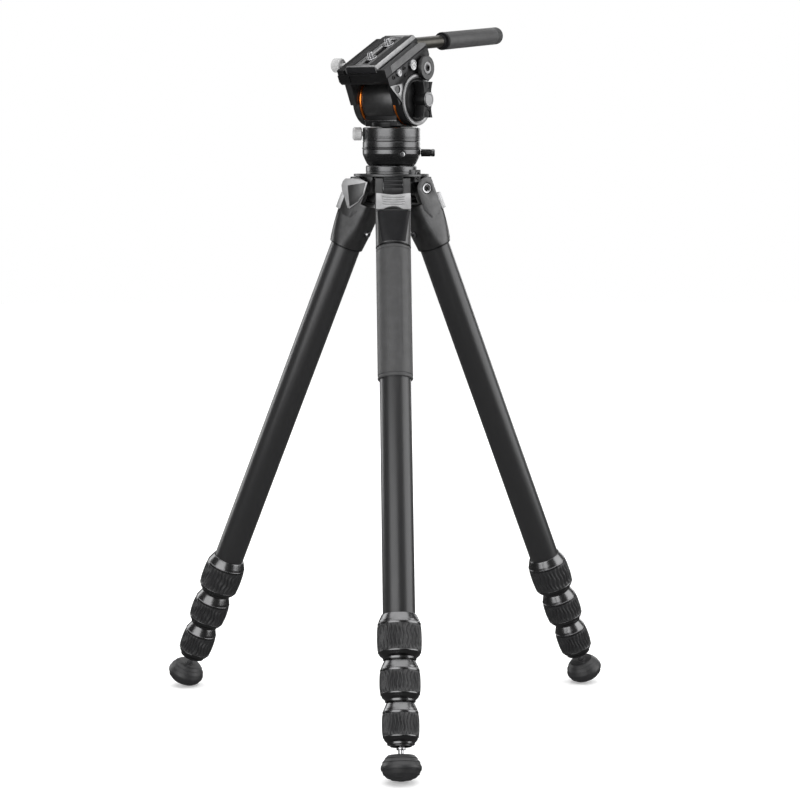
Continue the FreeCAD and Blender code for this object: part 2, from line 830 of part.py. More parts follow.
def camera_screw(label, along):
    """A camera screw: captive head in the plate and a stud above it."""
    return turned(
        label,
        [
            ("0", "screw_head_low"),
            ("screw_head_r - fine_bevel", "screw_head_low"),
            ("screw_head_r", "screw_head_low + fine_bevel"),
            ("screw_head_r", "screw_head_top"),
            ("screw_neck_r", "screw_head_top"),
            ("screw_neck_r", "screw_neck_top"),
            ("screw_r", "screw_neck_top"),
            ("screw_r", "screw_top - fine_bevel"),
            ("screw_r - fine_bevel", "screw_top"),
            ("0", "screw_top"),
        ],
        *tilt,
        shift("0", along, "0"),
    )


screws = doc.addObject("Part::Compound", "camera_screws")
screws.Links = [camera_screw("screw_a", "plate_mid - screw_step"), camera_screw("screw_b", "plate_mid + screw_step")]
keep("camera_screws", screws)

# Plate lock, release button and accessory port.
keep(
    "plate_lock_knob",
    turned(
        "plate_lock_knob",
        [
            ("0", "lock_out"),
            ("lock_r - bevel * 2", "lock_out"),
            ("lock_r", "lock_out + bevel * 2"),
            ("lock_r", "lock_in - bevel"),
            ("lock_r - bevel", "lock_in"),
            ("lock_stem_r", "lock_in"),
            ("lock_stem_r", "lock_stem_in"),
            ("0", "lock_stem_in"),
        ],
        *tilt,
        *lock_where,
    ),
)
keep(
    "plate_release_button",
    turned("plate_release_button", disc("button_r", "button_out", "button_in", "fine_bevel"), *tilt, *button_where),
)
rosette_outline = [
    ("bolt_r + run_fit", "side_out"),
    ("port_neck_r", "side_out"),
    ("port_neck_r", "port_low"),
    ("port_r", "port_low"),
    ("port_r", "port_top - bevel"),
    ("port_r - bevel", "port_top"),
    ("bolt_r + run_fit", "port_top"),
]
port_centre = tilt + (shift("0", "port_back", "port_up"),)
rosettes = doc.addObject("Part::Compound", "side_rosettes")
rosettes.Links = [
    turned("rosette_right", rosette_outline, *port_centre, spin(ABOUT_Y, "90")),
    turned("rosette_left", rosette_outline, *port_centre, spin(ABOUT_Y, "-90")),
]
keep("side_rosettes", rosettes)

# The pan handle: bent arm with its eye, clamp bolt and grip.
arm_start = (shift("arm_mid", "port_back", "port_up"), spin(ABOUT_X, "arm_first_drop - 90"))
arm_bend = arm_start + (shift("0", "0", "arm_first_long"), spin(ABOUT_X, "arm_second_drop"))
eye = rod("arm_eye", "arm_eye_r", "arm_eye_out", "arm_eye_in", *bolt_where)
first_run = rod("arm_first_run", "arm_r", "0", "arm_first_long", *arm_start)
elbow = ball("arm_elbow", "arm_r", *arm_bend)
second_run = rod("arm_second_run", "arm_r", "0", "hold_start + hold_socket", *arm_bend)
arm_solid = joined("arm_solid", [eye, first_run, elbow, second_run])
arm_hole = rod("arm_hole", "bolt_r + run_fit", "-side_out * 3", "0", *bolt_where)
rosette_room = rod("rosette_room", "port_r + bevel", "arm_eye_in", "0", *bolt_where)
head_room = rod("head_room", "bolt_head_r + bevel", "-side_out * 3", "arm_eye_out", *bolt_where)
keep("handle_arm", cut("handle_arm", arm_solid, [arm_hole, rosette_room, head_room], *tilt))
keep(
    "handle_bolt",
    turned(
        "handle_bolt",
        [
            ("0", "bolt_head_out"),
            ("bolt_head_r - fine_bevel", "bolt_head_out"),
            ("bolt_head_r", "bolt_head_out + fine_bevel"),
            ("bolt_head_r", "bolt_head_in"),
            ("bolt_r", "bolt_head_in"),
            ("bolt_r", "bolt_in"),
            ("0", "bolt_in"),
        ],
        *port_centre,
        *across,
    ),
)
keep(
    "handle_grip",
    turned(
        "handle_grip",
        [
            ("arm_r + run_fit", "hold_start"),
            ("hold_r - bevel", "hold_start"),
            ("hold_r", "hold_start + bevel"),
            ("hold_r", "hold_end - hold_round"),
            ("hold_r - hold_round / 3", "hold_end - hold_round / 3"),
            ("hold_r - hold_round", "hold_end"),
            ("0", "hold_end"),
            ("0", "hold_start + hold_socket + free_gap"),
            ("arm_r + run_fit", "hold_start + hold_socket + free_gap"),
        ],
        *tilt,
        *arm_bend,
    ),
)

doc.recompute()

for thing in doc.Objects:
    if "Invalid" in thing.State or "Error" in thing.State:
        raise RuntimeError("%s did not compute" % thing.Label)
os.makedirs("parts", exist_ok=True)
for thing in finished:
    shape = thing.Shape
    if shape.isNull() or not shape.isValid() or not shape.Solids:
        raise RuntimeError("%s has no valid solid" % thing.Label)
    shape.exportStep("parts/%s.step" % thing.Label)
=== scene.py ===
"""Looks for the three-legged stand with its fluid head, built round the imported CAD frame, in mm."""

from math import atan2, cos, hypot, pi, radians, sin, tan

import bmesh
import bpy
from mathutils import Matrix, Vector


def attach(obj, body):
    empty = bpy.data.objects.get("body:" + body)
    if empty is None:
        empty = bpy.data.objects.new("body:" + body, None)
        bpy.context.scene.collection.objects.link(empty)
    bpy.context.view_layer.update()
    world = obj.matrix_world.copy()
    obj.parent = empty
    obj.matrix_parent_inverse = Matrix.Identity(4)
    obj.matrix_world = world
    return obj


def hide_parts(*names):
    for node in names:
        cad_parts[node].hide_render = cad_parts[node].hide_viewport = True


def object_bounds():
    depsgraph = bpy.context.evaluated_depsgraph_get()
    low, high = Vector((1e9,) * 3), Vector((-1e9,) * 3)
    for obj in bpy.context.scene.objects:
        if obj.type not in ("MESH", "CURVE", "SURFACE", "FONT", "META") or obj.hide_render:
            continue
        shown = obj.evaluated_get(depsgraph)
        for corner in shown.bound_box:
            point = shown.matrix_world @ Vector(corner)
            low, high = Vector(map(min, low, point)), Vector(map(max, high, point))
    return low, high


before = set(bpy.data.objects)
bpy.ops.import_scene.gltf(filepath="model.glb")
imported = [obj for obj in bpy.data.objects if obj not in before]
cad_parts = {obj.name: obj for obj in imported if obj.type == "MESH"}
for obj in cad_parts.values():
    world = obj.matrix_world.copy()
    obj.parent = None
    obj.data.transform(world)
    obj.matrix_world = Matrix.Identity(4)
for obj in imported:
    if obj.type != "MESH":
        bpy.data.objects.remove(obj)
cad_low, cad_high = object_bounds()

MM = 0.001
LEG_SPREAD = 23.03
PIVOT_OUT = 33.0
PIVOT_UP = 5.0
AXIS_INSET = 4.25
YOKE_RADIUS = 18.0
ARC_STEPS = 4
BALL_STEPS = 14
SHARES = [k / 8 - 1.0 for k in range(17)]
HEAD_TURN = -37.32
HEAD_TILT = 26.4
TILT_UP = 97.0
LEG_HEADINGS = {"front": -90.0, "right": 30.0, "left": 150.0}


# ---- placing
def moved(x=0.0, y=0.0, z=0.0):
    return Matrix.Translation(Vector((x, y, z)) * MM)


def turned(angle, axis):
    return Matrix.Rotation(radians(angle), 4, axis)


HEAD = turned(HEAD_TURN, "Z")
DRUM = HEAD @ moved(z=TILT_UP)
TILT = DRUM @ turned(HEAD_TILT, "X")
ACROSS = turned(90, "Y")
SIDEWAYS = turned(90, "X")
HOME = Matrix.Identity(4)
ROSETTE_BACK = ROSETTE_UP = 24.5
ROSETTE = TILT @ moved(y=ROSETTE_BACK, z=ROSETTE_UP)
ARM_TURN = -15.5
ARM_CORNER = 79.2


def hinge_frame(side):
    return turned(LEG_HEADINGS[side], "Z") @ moved(x=PIVOT_OUT, z=PIVOT_UP)


def leg_frame(side):
    return hinge_frame(side) @ turned(-LEG_SPREAD, "Y")


# ---- materials
def new_material(name):
    material = bpy.data.materials.new(name)
    material.use_nodes = True
    tree = material.node_tree
    return material, tree, tree.nodes["Principled BSDF"]


def put(node, **values):
    """Set inputs that aren't linked. An underscore stands for a space in the input's name."""
    for socket, value in values.items():
        node.inputs[socket.replace("_", " ")].default_value = value


def link(tree, source, output, target, socket):
    tree.links.new(source.outputs[output], target.inputs[socket])


def noise(tree, scale, detail=4.0, stretch=(1.0, 1.0, 1.0)):
    """Noise in the piece's own coordinates, in cycles per metre."""
    where = tree.nodes.new("ShaderNodeTexCoord")
    mapping = tree.nodes.new("ShaderNodeMapping")
    put(mapping, Scale=stretch)
    texture = tree.nodes.new("ShaderNodeTexNoise")
    put(texture, Scale=scale, Detail=detail)
    link(tree, where, "Object", mapping, "Vector")
    link(tree, mapping, "Vector", texture, "Vector")
    return texture


def ramp(tree, source, output, low, high, start=0.3, end=0.7):
    """Colours or greys between two values, driven by a texture."""
    node = tree.nodes.new("ShaderNodeValToRGB")
    node.color_ramp.elements[0].position = start
    node.color_ramp.elements[1].position = end
    node.color_ramp.elements[0].color = (*low, 1.0)
    node.color_ramp.elements[1].color = (*high, 1.0)
    link(tree, source, output, node, "Fac")
    return node


def grey_range(tree, source, output, low, high):
    node = tree.nodes.new("ShaderNodeMapRange")
    put(node, To_Min=low, To_Max=high)
    link(tree, source, output, node, "Value")
    return node


def bump(tree, shader, height, output, depth, strength):
    node = tree.nodes.new("ShaderNodeBump")
    put(node, Strength=strength, Distance=depth * MM)
    link(tree, height, output, node, "Height")
    link(tree, node, "Normal", shader, "Normal")


def maths(tree, operation, *terms):
    """A maths node fed by numbers or by (node, output) pairs."""
    node = tree.nodes.new("ShaderNodeMath")
    node.operation = operation
    for index, term in enumerate(terms):
        if isinstance(term, tuple):
            link(tree, *term, node, index)
        else:
            node.inputs[index].default_value = term
    return node


def own_axes(tree):
    """The piece's own coordinates, split into X, Y and Z."""
    where = tree.nodes.new("ShaderNodeTexCoord")
    split = tree.nodes.new("ShaderNodeSeparateXYZ")
    link(tree, where, "Object", split, "Vector")
    return split


def tinted(tree, shader, source, output, colour, dark, bright, start=0.3, end=0.7):
    """Base colour that drifts between a darker and a brighter share of one colour."""
    low = [channel * dark for channel in colour]
    high = [min(1.0, channel * bright) for channel in colour]
    tint = ramp(tree, source, output, low, high, start, end)
    link(tree, tint, "Color", shader, "Base Color")


def glossed(tree, shader, texture, low, high):
    gloss = grey_range(tree, texture, "Fac", low, high)
    link(tree, gloss, "Result", shader, "Roughness")


def surface(name, colour, rough, metallic, grain=9000.0, depth=0.02, coat=0.0, stretch=(1, 1, 1)):
    """A metal, plastic or rubber with fine grain, slow colour drift and uneven gloss."""
    material, tree, shader = new_material(name)
    tinted(tree, shader, noise(tree, 120.0, 5.0, stretch), "Fac", colour, 0.86, 1.14)
    fine = noise(tree, grain, 3.0, stretch)
    glossed(tree, shader, fine, rough * 0.82, min(1.0, rough * 1.2))
    bump(tree, shader, fine, "Fac", depth, 0.6)
    put(shader, Metallic=metallic)
    if coat:
        put(shader, Coat_Weight=coat, Coat_Roughness=0.18)
    return material


def turned_metal(name, colour, rough, pitch=0.35):
    """Lathe-turned metal: fine rings round the piece's own Z axis."""
    material, tree, shader = new_material(name)
    rings = maths(tree, "MULTIPLY", (own_axes(tree), "Z"), 2.0 * pi / (pitch * MM))
    wave = maths(tree, "SINE", (rings, "Value"))
    tinted(tree, shader, noise(tree, 90.0), "Fac", colour, 0.88, 1.12)
    glossed(tree, shader, noise(tree, 700.0, 3.0, (1.0, 1.0, 12.0)), rough * 0.8, rough * 1.25)
    bump(tree, shader, wave, "Value", 0.012, 0.35)
    put(shader, Metallic=1.0, Anisotropic=0.35)
    return material


def carbon_weave(name, colour, rough):
    """Rolled carbon tube under a satin lacquer: a fine twill round the piece's own Z axis."""
    material, tree, shader = new_material(name)
    split = own_axes(tree)
    angle = maths(tree, "ARCTAN2", (split, "Y"), (split, "X"))
    waves = []
    for rise in (2750.0, -2750.0):
        around = maths(tree, "MULTIPLY", (angle, "Value"), 44.0)
        along = maths(tree, "MULTIPLY_ADD", (split, "Z"), rise, (around, "Value"))
        waves.append((maths(tree, "SINE", (along, "Value")), "Value"))
    weave = maths(tree, "MAXIMUM", *waves)
    shown = grey_range(tree, weave, "Value", 0.0, 1.0)
    put(shown, From_Min=-1.0)
    tinted(tree, shader, shown, "Result", colour, 0.86, 1.16, 0.1, 0.9)
    glossed(tree, shader, noise(tree, 260.0, 4.0, (1.0, 1.0, 0.15)), rough * 0.8, rough * 1.25)
    bump(tree, shader, weave, "Value", 0.01, 0.12)
    put(shader, Metallic=0.55, Coat_Weight=0.35, Coat_Roughness=0.3)
    return material


# A look is a surface and the name of its slot.
CARBON = carbon_weave("carbon_tube", (0.03, 0.03, 0.031), 0.34), "carbon_tube"
CAST = surface("cast_graphite", (0.085, 0.085, 0.086), 0.36, 0.9, depth=0.03), "graphite"
# Pale cast grey for the stop pads, the left stop's wing and the plate's side chamfer; on the stop pads and
# the wing its paleness is partly a painted highlight of the key lights.
PALE_CAST_AND_HIGHLIGHT = surface("pale_cast_and_painted_highlight", (0.4, 0.4, 0.405), 0.45, 0.7, depth=0.03), "graphite_light"
DARK = surface("dark_anodised", (0.03, 0.03, 0.031), 0.36, 0.85), "graphite"
BLACK = surface("black_gloss", (0.006, 0.006, 0.007), 0.25, 0.0, grain=4000, depth=0.004,
    coat=0.3), "graphite"
BADGE = surface("badge_plastic", (0.01, 0.01, 0.011), 0.4, 0.0, grain=4000, depth=0.004), "graphite"
put(BADGE[0].node_tree.nodes["Principled BSDF"], Specular_IOR_Level=0.15)
BLACK_METAL = surface("black_metal", (0.014, 0.014, 0.0145), 0.33, 0.7), "graphite"
MACHINED = turned_metal("machined_graphite", (0.11, 0.11, 0.112), 0.25), "graphite"
MACHINED_DARK = turned_metal("machined_dark", (0.035, 0.035, 0.036), 0.3), "graphite"
RING_METAL = turned_metal("collar_ring_metal", (0.14, 0.14, 0.142), 0.22, 0.5), "graphite"
STEEL = turned_metal("bright_steel", (0.42, 0.42, 0.43), 0.24, 0.3), "steel"
# Pale grey alloy; on the pan and plate lock knobs its paleness is partly a painted highlight of the strong
# side light on them.
ALLOY = surface("pale_alloy_and_painted_highlight", (0.5, 0.5, 0.5), 0.45, 0.35), "alloy"
# Silver for the drag ring, lever cap and rosette ring; on the side panel's facet and the jaw's hatched face
# this pale colour is a painted highlight of the light falling on those faces.
SILVER_AND_PAINTED_HIGHLIGHT = surface("silver_and_painted_highlight", (0.26, 0.26, 0.263), 0.38, 0.9, grain=6000, depth=0.02), "graphite_light"
WARM = surface("warm_alloy", (0.13, 0.125, 0.112), 0.3, 0.95, stretch=(1, 1, 0.1)), "warm_alloy"
ORANGE = turned_metal("orange_anodised", (0.8, 0.2, 0.03), 0.28, 0.4), "orange_band"
RUBBER = surface("rubber_black", (0.016, 0.016, 0.017), 0.45, 0.0, grain=5000, depth=0.05), "rubber"
FOAM = surface("grip_rubber", (0.045, 0.045, 0.046), 0.5, 0.0, grain=5500, depth=0.05), "rubber"
LINER = surface("liner_plastic", (0.03, 0.03, 0.03), 0.45, 0.0), "graphite"
PLATE_METAL = surface("plate_anodised", (0.24, 0.24, 0.243), 0.36, 0.8, grain=7000, depth=0.015), "graphite"
ALLOY_AS_STEEL = ALLOY[0], "steel"
BADGE_AS_RUBBER = BADGE[0], "rubber"
BLACK_AS_STEEL = BLACK_METAL[0], "steel"
SILVER_AS_ALLOY = SILVER_AND_PAINTED_HIGHLIGHT[0], "alloy"
SILVER_AS_GRAPHITE = SILVER_AND_PAINTED_HIGHLIGHT[0], "graphite"
SILVER_AS_STEEL = SILVER_AND_PAINTED_HIGHLIGHT[0], "steel"


# ---- pieces
def finish_piece(piece, place, body, look, nodes=(), smooth=35.0, settled=False):
    """Place a mesh piece, give it its surface, tie it to its body and hide the CAD nodes it stands for."""
    material, slot = look
    if not piece.data.materials:
        piece.data.materials.append(material)
    piece.data.shade_smooth()
    piece.data.set_sharp_from_angle(angle=radians(smooth))
    if settled:
        piece.data.transform(place)
    else:
        piece.matrix_world = place
    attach(piece, body)
    if nodes:
        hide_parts(*nodes)
    return piece


def new_object(name, data):
    piece = bpy.data.objects.new(name, data)
    bpy.context.scene.collection.objects.link(piece)
    return piece


def mesh_piece(name, points, faces):
    mesh = bpy.data.meshes.new(name)
    mesh.from_pydata([tuple(value * MM for value in point) for point in points], [], faces)
    edit = bmesh.new()
    edit.from_mesh(mesh)
    bmesh.ops.recalc_face_normals(edit, faces=edit.faces)
    edit.to_mesh(mesh)
    edit.free()
    return new_object(name, mesh)


def softened(outline):
    """Replace each corner that carries a third value by an arc of that radius."""
    smooth = []
    total = len(outline)
    for index, corner in enumerate(outline):
        here = Vector(corner[:2])
        size = corner[2] if len(corner) > 2 else 0.0
        before = Vector(outline[index - 1][:2]) - here
        after = Vector(outline[(index + 1) % total][:2]) - here
        if not size or before.length < 1e-6 or after.length < 1e-6:
            smooth.append(tuple(here))
            continue
        half = before.angle(after) / 2
        if half < 0.05 or half > pi / 2 - 0.02:
            smooth.append(tuple(here))
            continue
        reach = min(size / tan(half), before.length * 0.48, after.length * 0.48)
        radius = reach * tan(half)
        inward = (before.normalized() + after.normalized()).normalized()
        centre = here + inward * (radius / sin(half))
        first = here + before.normalized() * reach - centre
        last = here + after.normalized() * reach - centre
        sweep = first.angle_signed(last)
        for step in range(ARC_STEPS + 1):
            share = -sweep * step / ARC_STEPS
            cosine, sine = cos(share), sin(share)
            point = Vector((first.x * cosine - first.y * sine, first.x * sine + first.y * cosine))
            smooth.append(tuple(centre + point))
    return smooth


def lathe(
    name, outline, place, body, look, nodes=(), steps=96, ripple=None, hollow=False,
    smooth=35.0, lift=None, settled=False
):
    """Turn an outline of (radius, height[, corner radius]) round Z. A hollow outline is a closed loop."""
    outline = softened(outline)
    points, faces, rings = [], [], []
    for radius, height in outline:
        if radius < 1e-6:
            rings.append([len(points)] * steps)
            points.append((0.0, 0.0, height))
            continue
        ring = []
        for step in range(steps):
            angle = 2 * pi * step / steps
            reach = radius + (ripple(angle, radius, height) if ripple else 0.0)
            ring.append(len(points))
            rise = height + (lift(angle, radius, height) if lift else 0.0)
            points.append((reach * cos(angle), reach * sin(angle), rise))
        rings.append(ring)
    pairs = list(zip(rings, rings[1:]))
    if hollow:
        pairs.append((rings[-1], rings[0]))
    for low, high in pairs:
        for step in range(steps):
            after = (step + 1) % steps
            face = []
            for corner in (low[step], low[after], high[after], high[step]):
                if corner not in face:
                    face.append(corner)
            if len(face) > 2:
                faces.append(face)
    piece = mesh_piece(name, points, faces)
    return finish_piece(piece, place, body, look, nodes, smooth, settled)


def hoop(*given, **named):
    """A lathe piece whose outline is a closed loop."""
    return lathe(*given, hollow=True, **named)


def prism_faces(total):
    """Two caps, and the sides between two rings of points."""
    faces = [list(range(total)), list(range(total, 2 * total))]
    for index in range(total):
        after = (index + 1) % total
        faces.append([index, after, total + after, total + index])
    return faces


def grid_faces(rows, columns):
    """The cells of a sheet of points, row by row."""
    width = columns + 1
    corners = [row * width + column for row in range(rows) for column in range(columns)]
    return [[first, first + 1, first + width + 1, first + width] for first in corners]


def grid_rim(rows, columns):
    """The points round the edge of such a sheet, in order."""
    width = columns + 1
    rim = list(range(width)) + [row * width + columns for row in range(1, rows + 1)]
    rim += [rows * width + column for column in range(columns - 1, -1, -1)]
    return rim + [row * width for row in range(rows - 1, 0, -1)]


def slab(name, outline, low, high, axis="x", edge=0.6, segments=3):
    """A flat outline pushed along one axis, with its edges rounded. Returns the bare piece."""
    ends = [(a, b, end) for end in (low, high) for a, b in outline]
    points = [(end, a, b) if axis == "x" else (a, end, b) for a, b, end in ends]
    piece = mesh_piece(name, points, prism_faces(len(outline)))
    return rounded(piece, edge, segments) if edge else piece


def brick(name, low, high, edge=0.6, segments=3):
    outline = [(low[1], low[2]), (high[1], low[2]), (high[1], high[2]), (low[1], high[2])]
    return slab(name, outline, low[0], high[0], "x", edge, segments)


def settle(piece):
    """Bake a piece's modifiers into its mesh."""
    bpy.context.view_layer.update()
    graph = bpy.context.evaluated_depsgraph_get()
    mesh = bpy.data.meshes.new_from_object(piece.evaluated_get(graph))
    piece.modifiers.clear()
    piece.data = mesh
    return piece


def rounded(piece, edge, segments=3, limit=32.0):
    modifier = piece.modifiers.new("edge", "BEVEL")
    modifier.width = edge * MM
    modifier.segments = segments
    modifier.limit_method = "ANGLE"
    modifier.angle_limit = radians(limit)
    return settle(piece)


def combine(piece, tools, operation="DIFFERENCE"):
    """Cut tools out of a piece, or join them to it."""
    for tool in tools:
        modifier = piece.modifiers.new("combine", "BOOLEAN")
        modifier.operation = operation
        modifier.solver = "EXACT"
        modifier.object = tool
    settle(piece)
    for tool in tools:
        bpy.data.objects.remove(tool)
    return piece


def drum_tool(name, radius, low, high, place=None, steps=64):
    """A bare round bar used as a tool or a blank, along Z unless placed."""
    points = []
    for height in (low, high):
        for step in range(steps):
            angle = 2 * pi * step / steps
            spot = Vector((radius * cos(angle), radius * sin(angle), height))
            if place is not None:
                spot = (place @ (spot * MM)) / MM
            points.append(tuple(spot))
    return mesh_piece(name, points, prism_faces(steps))


def hex_head(name, radius, low, high, place, body, look, socket=0.5, dish=0.6, nodes=()):
    """A round cap screw with a hexagonal socket in its top."""
    blank = drum_tool(name, radius, low, high, steps=48)
    rounded(blank, radius * 0.12, 2)
    key = drum_tool(name + "_key", radius * socket, high - (high - low) * dish, high + 1, steps=6)
    combine(blank, [key])
    return finish_piece(blank, place, body, look, nodes)


def from_cad(node, place, body, look, edge, cuts=()):
    """A CAD node's own shape in a local frame, with its edges rounded and details cut in."""
    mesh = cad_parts[node].data.copy()
    mesh.materials.clear()
    mesh.transform(place.inverted())
    piece = new_object(node + "_shell", mesh)
    edit = bmesh.new()
    edit.from_mesh(mesh)
    bmesh.ops.remove_doubles(edit, verts=edit.verts, dist=0.004 * MM)
    bmesh.ops.dissolve_limit(edit, angle_limit=radians(1.5), verts=edit.verts, edges=edit.edges)
    edit.to_mesh(mesh)
    edit.free()
    if cuts:
        combine(piece, cuts)
    rounded(piece, edge)
    return finish_piece(piece, place, body, look, [node])


def dressed(node, look):
    """Give a CAD node that stays in sight, or inside, its surface."""
    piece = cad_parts[node]
    piece.data.materials.clear()
    piece.data.materials.append(look[0])


# ---- legs
TUBES = {
    "a": (16.0, 14.5, -30.2, -468.0),
    "b": (14.2, 12.7, -40.0, -509.0),
    "c": (12.4, 10.9, -60.0, -550.0),
    "d": (10.6, 9.1, -80.0, -575.0),
}
COLLARS = {
    "a": (22.1, 16.6, -446.0, -491.0, "b"),
    "b": (20.2, 15.2, -491.5, -532.0, "c"),
    "c": (18.35, 13.6, -532.5, -573.4, "d"),
}
RIBS = 30


def tube_body(side, level):
    return "leg_" + side if level == "a" else f"leg_{side}_section_{level}"


def leg_tube(side, level, axis):
    radius, bore, top, end = TUBES[level]
    outline = [(bore, top), (radius, top, 0.4), (radius, end, 0.4), (bore, end)]
    name = f"leg_{side}_tube_{level}"
    hoop(name + "_skin", outline, axis, tube_body(side, level), CARBON, [name])


def leg_collar(side, level, axis):
    """A twist lock: a bright ring, a ribbed rubber band and a tapering tail with a neck."""
    wide, neck, top, end, inner = COLLARS[level]
    bore = TUBES[level][0] + 0.05
    clear = TUBES[inner][0] + 0.35
    seat = TUBES[level][3] - 0.4
    body = f"leg_{side}_twist_{level}"
    name = f"leg_{side}_collar_{level}"
    band_top, band_end = top - 11.2, end + 8.4
    shell = [(bore, top), (wide - 5.0, top, 0.5), (wide - 4.2, top - 1.6, 0.8), (wide - 2.0, top - 6.4, 1.6),
        (wide - 1.3, top - 8.6, 0.4), (wide - 0.8, top - 9.0, 0.3), (wide - 0.8, band_top, 0.3),
        (wide - 2.0, band_top - 0.1), (wide - 2.0, band_end + 0.1), (wide - 0.8, band_end, 0.3),
        (wide - 0.8, band_end - 1.3, 0.3), (wide - 1.5, band_end - 1.7, 0.2),
        (wide - 2.4, band_end - 4.0, 1.0), (neck + 0.5, band_end - 5.9, 0.5), (neck, band_end - 6.1, 0.2),
        (neck - 0.2, end, 0.4), (clear, end), (clear, seat), (bore, seat)]
    hoop(name + "_ring", shell, axis, body, RING_METAL, [name])
    band = [(wide - 1.9, band_top), (wide - 0.9, band_top)]
    for step in range(1, 20):
        share = step / 20
        bulge = 0.9 * sin(pi * share) ** 0.5
        band.append((wide - 0.9 + bulge, band_top + (band_end - band_top) * share))
    band += [(wide - 0.9, band_end), (wide - 1.9, band_end)]

    def ribs(angle, radius, height):
        """Wavy lengthwise ribs, fading out at the ends of the band."""
        share = (height - band_end) / (band_top - band_end)
        fade = min(1.0, max(0.0, 6.0 * min(share, 1.0 - share)))
        wave = sin(RIBS * angle + 1.1 * sin(height * 0.42 + 2.0 * sin(3.0 * angle)))
        return (0.8 * wave - 0.8) * fade if radius > wide - 1.5 else 0.0

    hoop(name + "_band", band, axis, body, RUBBER, steps=RIBS * 8, ripple=ribs)


def leg_foot(side, axis):
    """A ball-shaped rubber foot on a steel stud, with turned rings over its dome."""
    prefix = f"leg_{side}_"
    body = prefix + "section_d"
    stud = [(0.0, -563.0), (2.8, -563.0), (2.8, -575.3), (4.4, -575.3, 0.3), (4.4, -578.0, 0.3),
        (2.8, -578.2), (2.8, -592.0, 0.3), (0.0, -592.0)]
    lathe(prefix + "stud", stud, axis, body, STEEL, [prefix + "foot_stud"], steps=48)
    outline = [(0.0, -591.0), (2.8, -591.0), (2.8, -583.4), (4.6, -583.0, 0.3), (5.0, -583.6),
        (13.0, -583.2, 0.8), (16.2, -586.3, 0.3), (15.7, -586.6), (18.7, -590.2, 0.3), (18.2, -590.5),
        (19.9, -594.2, 2.0), (20.0, -596.2, 2.0), (19.5, -598.0, 0.3), (18.9, -598.1), (17.6, -602.0, 0.3),
        (17.0, -601.9), (14.2, -604.9, 0.3), (13.6, -604.6), (9.6, -606.9, 0.6), (9.3, -606.7),
        (4.4, -607.7, 0.4), (3.4, -607.7), (3.0, -608.0, 0.2), (0.0, -608.0)]
    lathe(prefix + "foot_ball", outline, axis, body, RUBBER, [prefix + "foot"], settled=True)


def grip_sleeve(axis):
    """A moulded sleeve with rolled lips and a plain sunk panel down its front."""
    outline = [(16.0, -64.4), (17.3, -64.4, 0.5), (18.0, -65.6, 0.5), (18.0, -67.6, 0.2), (17.6, -68.0, 0.2),
        (17.6, -68.8, 0.2), (18.0, -69.2, 0.2)]
    outline += [(18.0, -69.2 - 132.0 * step / 40) for step in range(1, 40)]
    outline += [(18.0, -201.2, 0.2), (17.5, -201.8, 0.2), (17.5, -202.6, 0.2), (18.0, -203.2, 0.2)]
    outline += [(18.0, -204.8, 0.5), (17.2, -205.5, 0.5), (16.0, -205.5)]

    def sunk(angle, radius, height):
        """A shallow stadium-shaped panel facing out from the stand."""
        across = atan2(sin(angle), cos(angle)) * 18.0
        along = max(0.0, abs(height + 134.0) - 50.0)
        reach = hypot(across, along)
        return -0.45 * min(1.0, max(0.0, (7.5 - reach) / 0.8)) if radius > 17.9 else 0.0

    lathe("leg_front_sleeve", outline, axis, "leg_front", FOAM, ["leg_front_grip_sleeve"], 192, sunk, True)


YOKE_TOP, YOKE_END = -13.0, -64.0


def yoke_section(angle, height):
    """The yoke's outer skin: a circle at the tube that squares up towards the hinge."""
    share = min(1.0, max(0.0, (height - YOKE_END) / 40.0))
    power = 2.0 + 3.6 * share ** 1.2
    cosine, sine = cos(angle), sin(angle)
    reach = (abs(cosine) ** power + abs(sine) ** power) ** (-1.0 / power)
    return Vector((YOKE_RADIUS * reach * cosine - AXIS_INSET, YOKE_RADIUS * reach * sine))


def yoke_shell(side, place):
    """The casting round the top tube: squared shoulders, two cheeks and a slot for the crown's tongue."""
    name = f"leg_{side}_yoke"
    steps, levels = 96, 26
    points, faces = [], []
    for level in range(levels):
        height = YOKE_END + (YOKE_TOP - YOKE_END) * level / (levels - 1)
        for step in range(steps):
            spot = yoke_section(2 * pi * step / steps, height)
            points.append((spot.x, spot.y, height))
    for low in range(0, (levels - 1) * steps, steps):
        for step in range(steps):
            after, high = (step + 1) % steps, low + steps
            faces.append([low + step, low + after, high + after, high + step])
    faces.append(list(range(steps)))
    faces.append(list(range((levels - 1) * steps, levels * steps)))
    piece = mesh_piece(name + "_shell", points, faces)
    cheek_arc = [(12.0 * cos(turn), 12.0 * sin(turn)) for turn in [pi * k / 24 for k in range(25)]]
    cheek = [(12.0, -20.0)] + cheek_arc + [(-12.0, -20.0), (-6.0, -31.0), (4.0, -31.0)]
    combine(piece, [slab("cheek", cheek, -YOKE_RADIUS, YOKE_RADIUS, "y", 0)], "UNION")
    far = 60.0
    tools = [
        brick("slot", (-far, -10.35, -12.0), (far, 10.35, far), 0),
        brick("flat", (8.9, -far, -28.2), (far, far, far), 0),
        brick("back", (-far, -far, -10.0), (-12.2, far, far), 0),
        drum_tool("socket", 16.05, -far * 2, -30.0, moved(x=-AXIS_INSET)),
        drum_tool("pin", 3.05, -far, far, SIDEWAYS),
        drum_tool("seat_a", 6.0, 15.1, far, SIDEWAYS),
        drum_tool("seat_b", 6.0, -far, -15.1, SIDEWAYS),
    ]
    combine(piece, tools)
    rounded(piece, 0.7, 3)
    finish_piece(piece, place, "leg_" + side, CAST, [name])


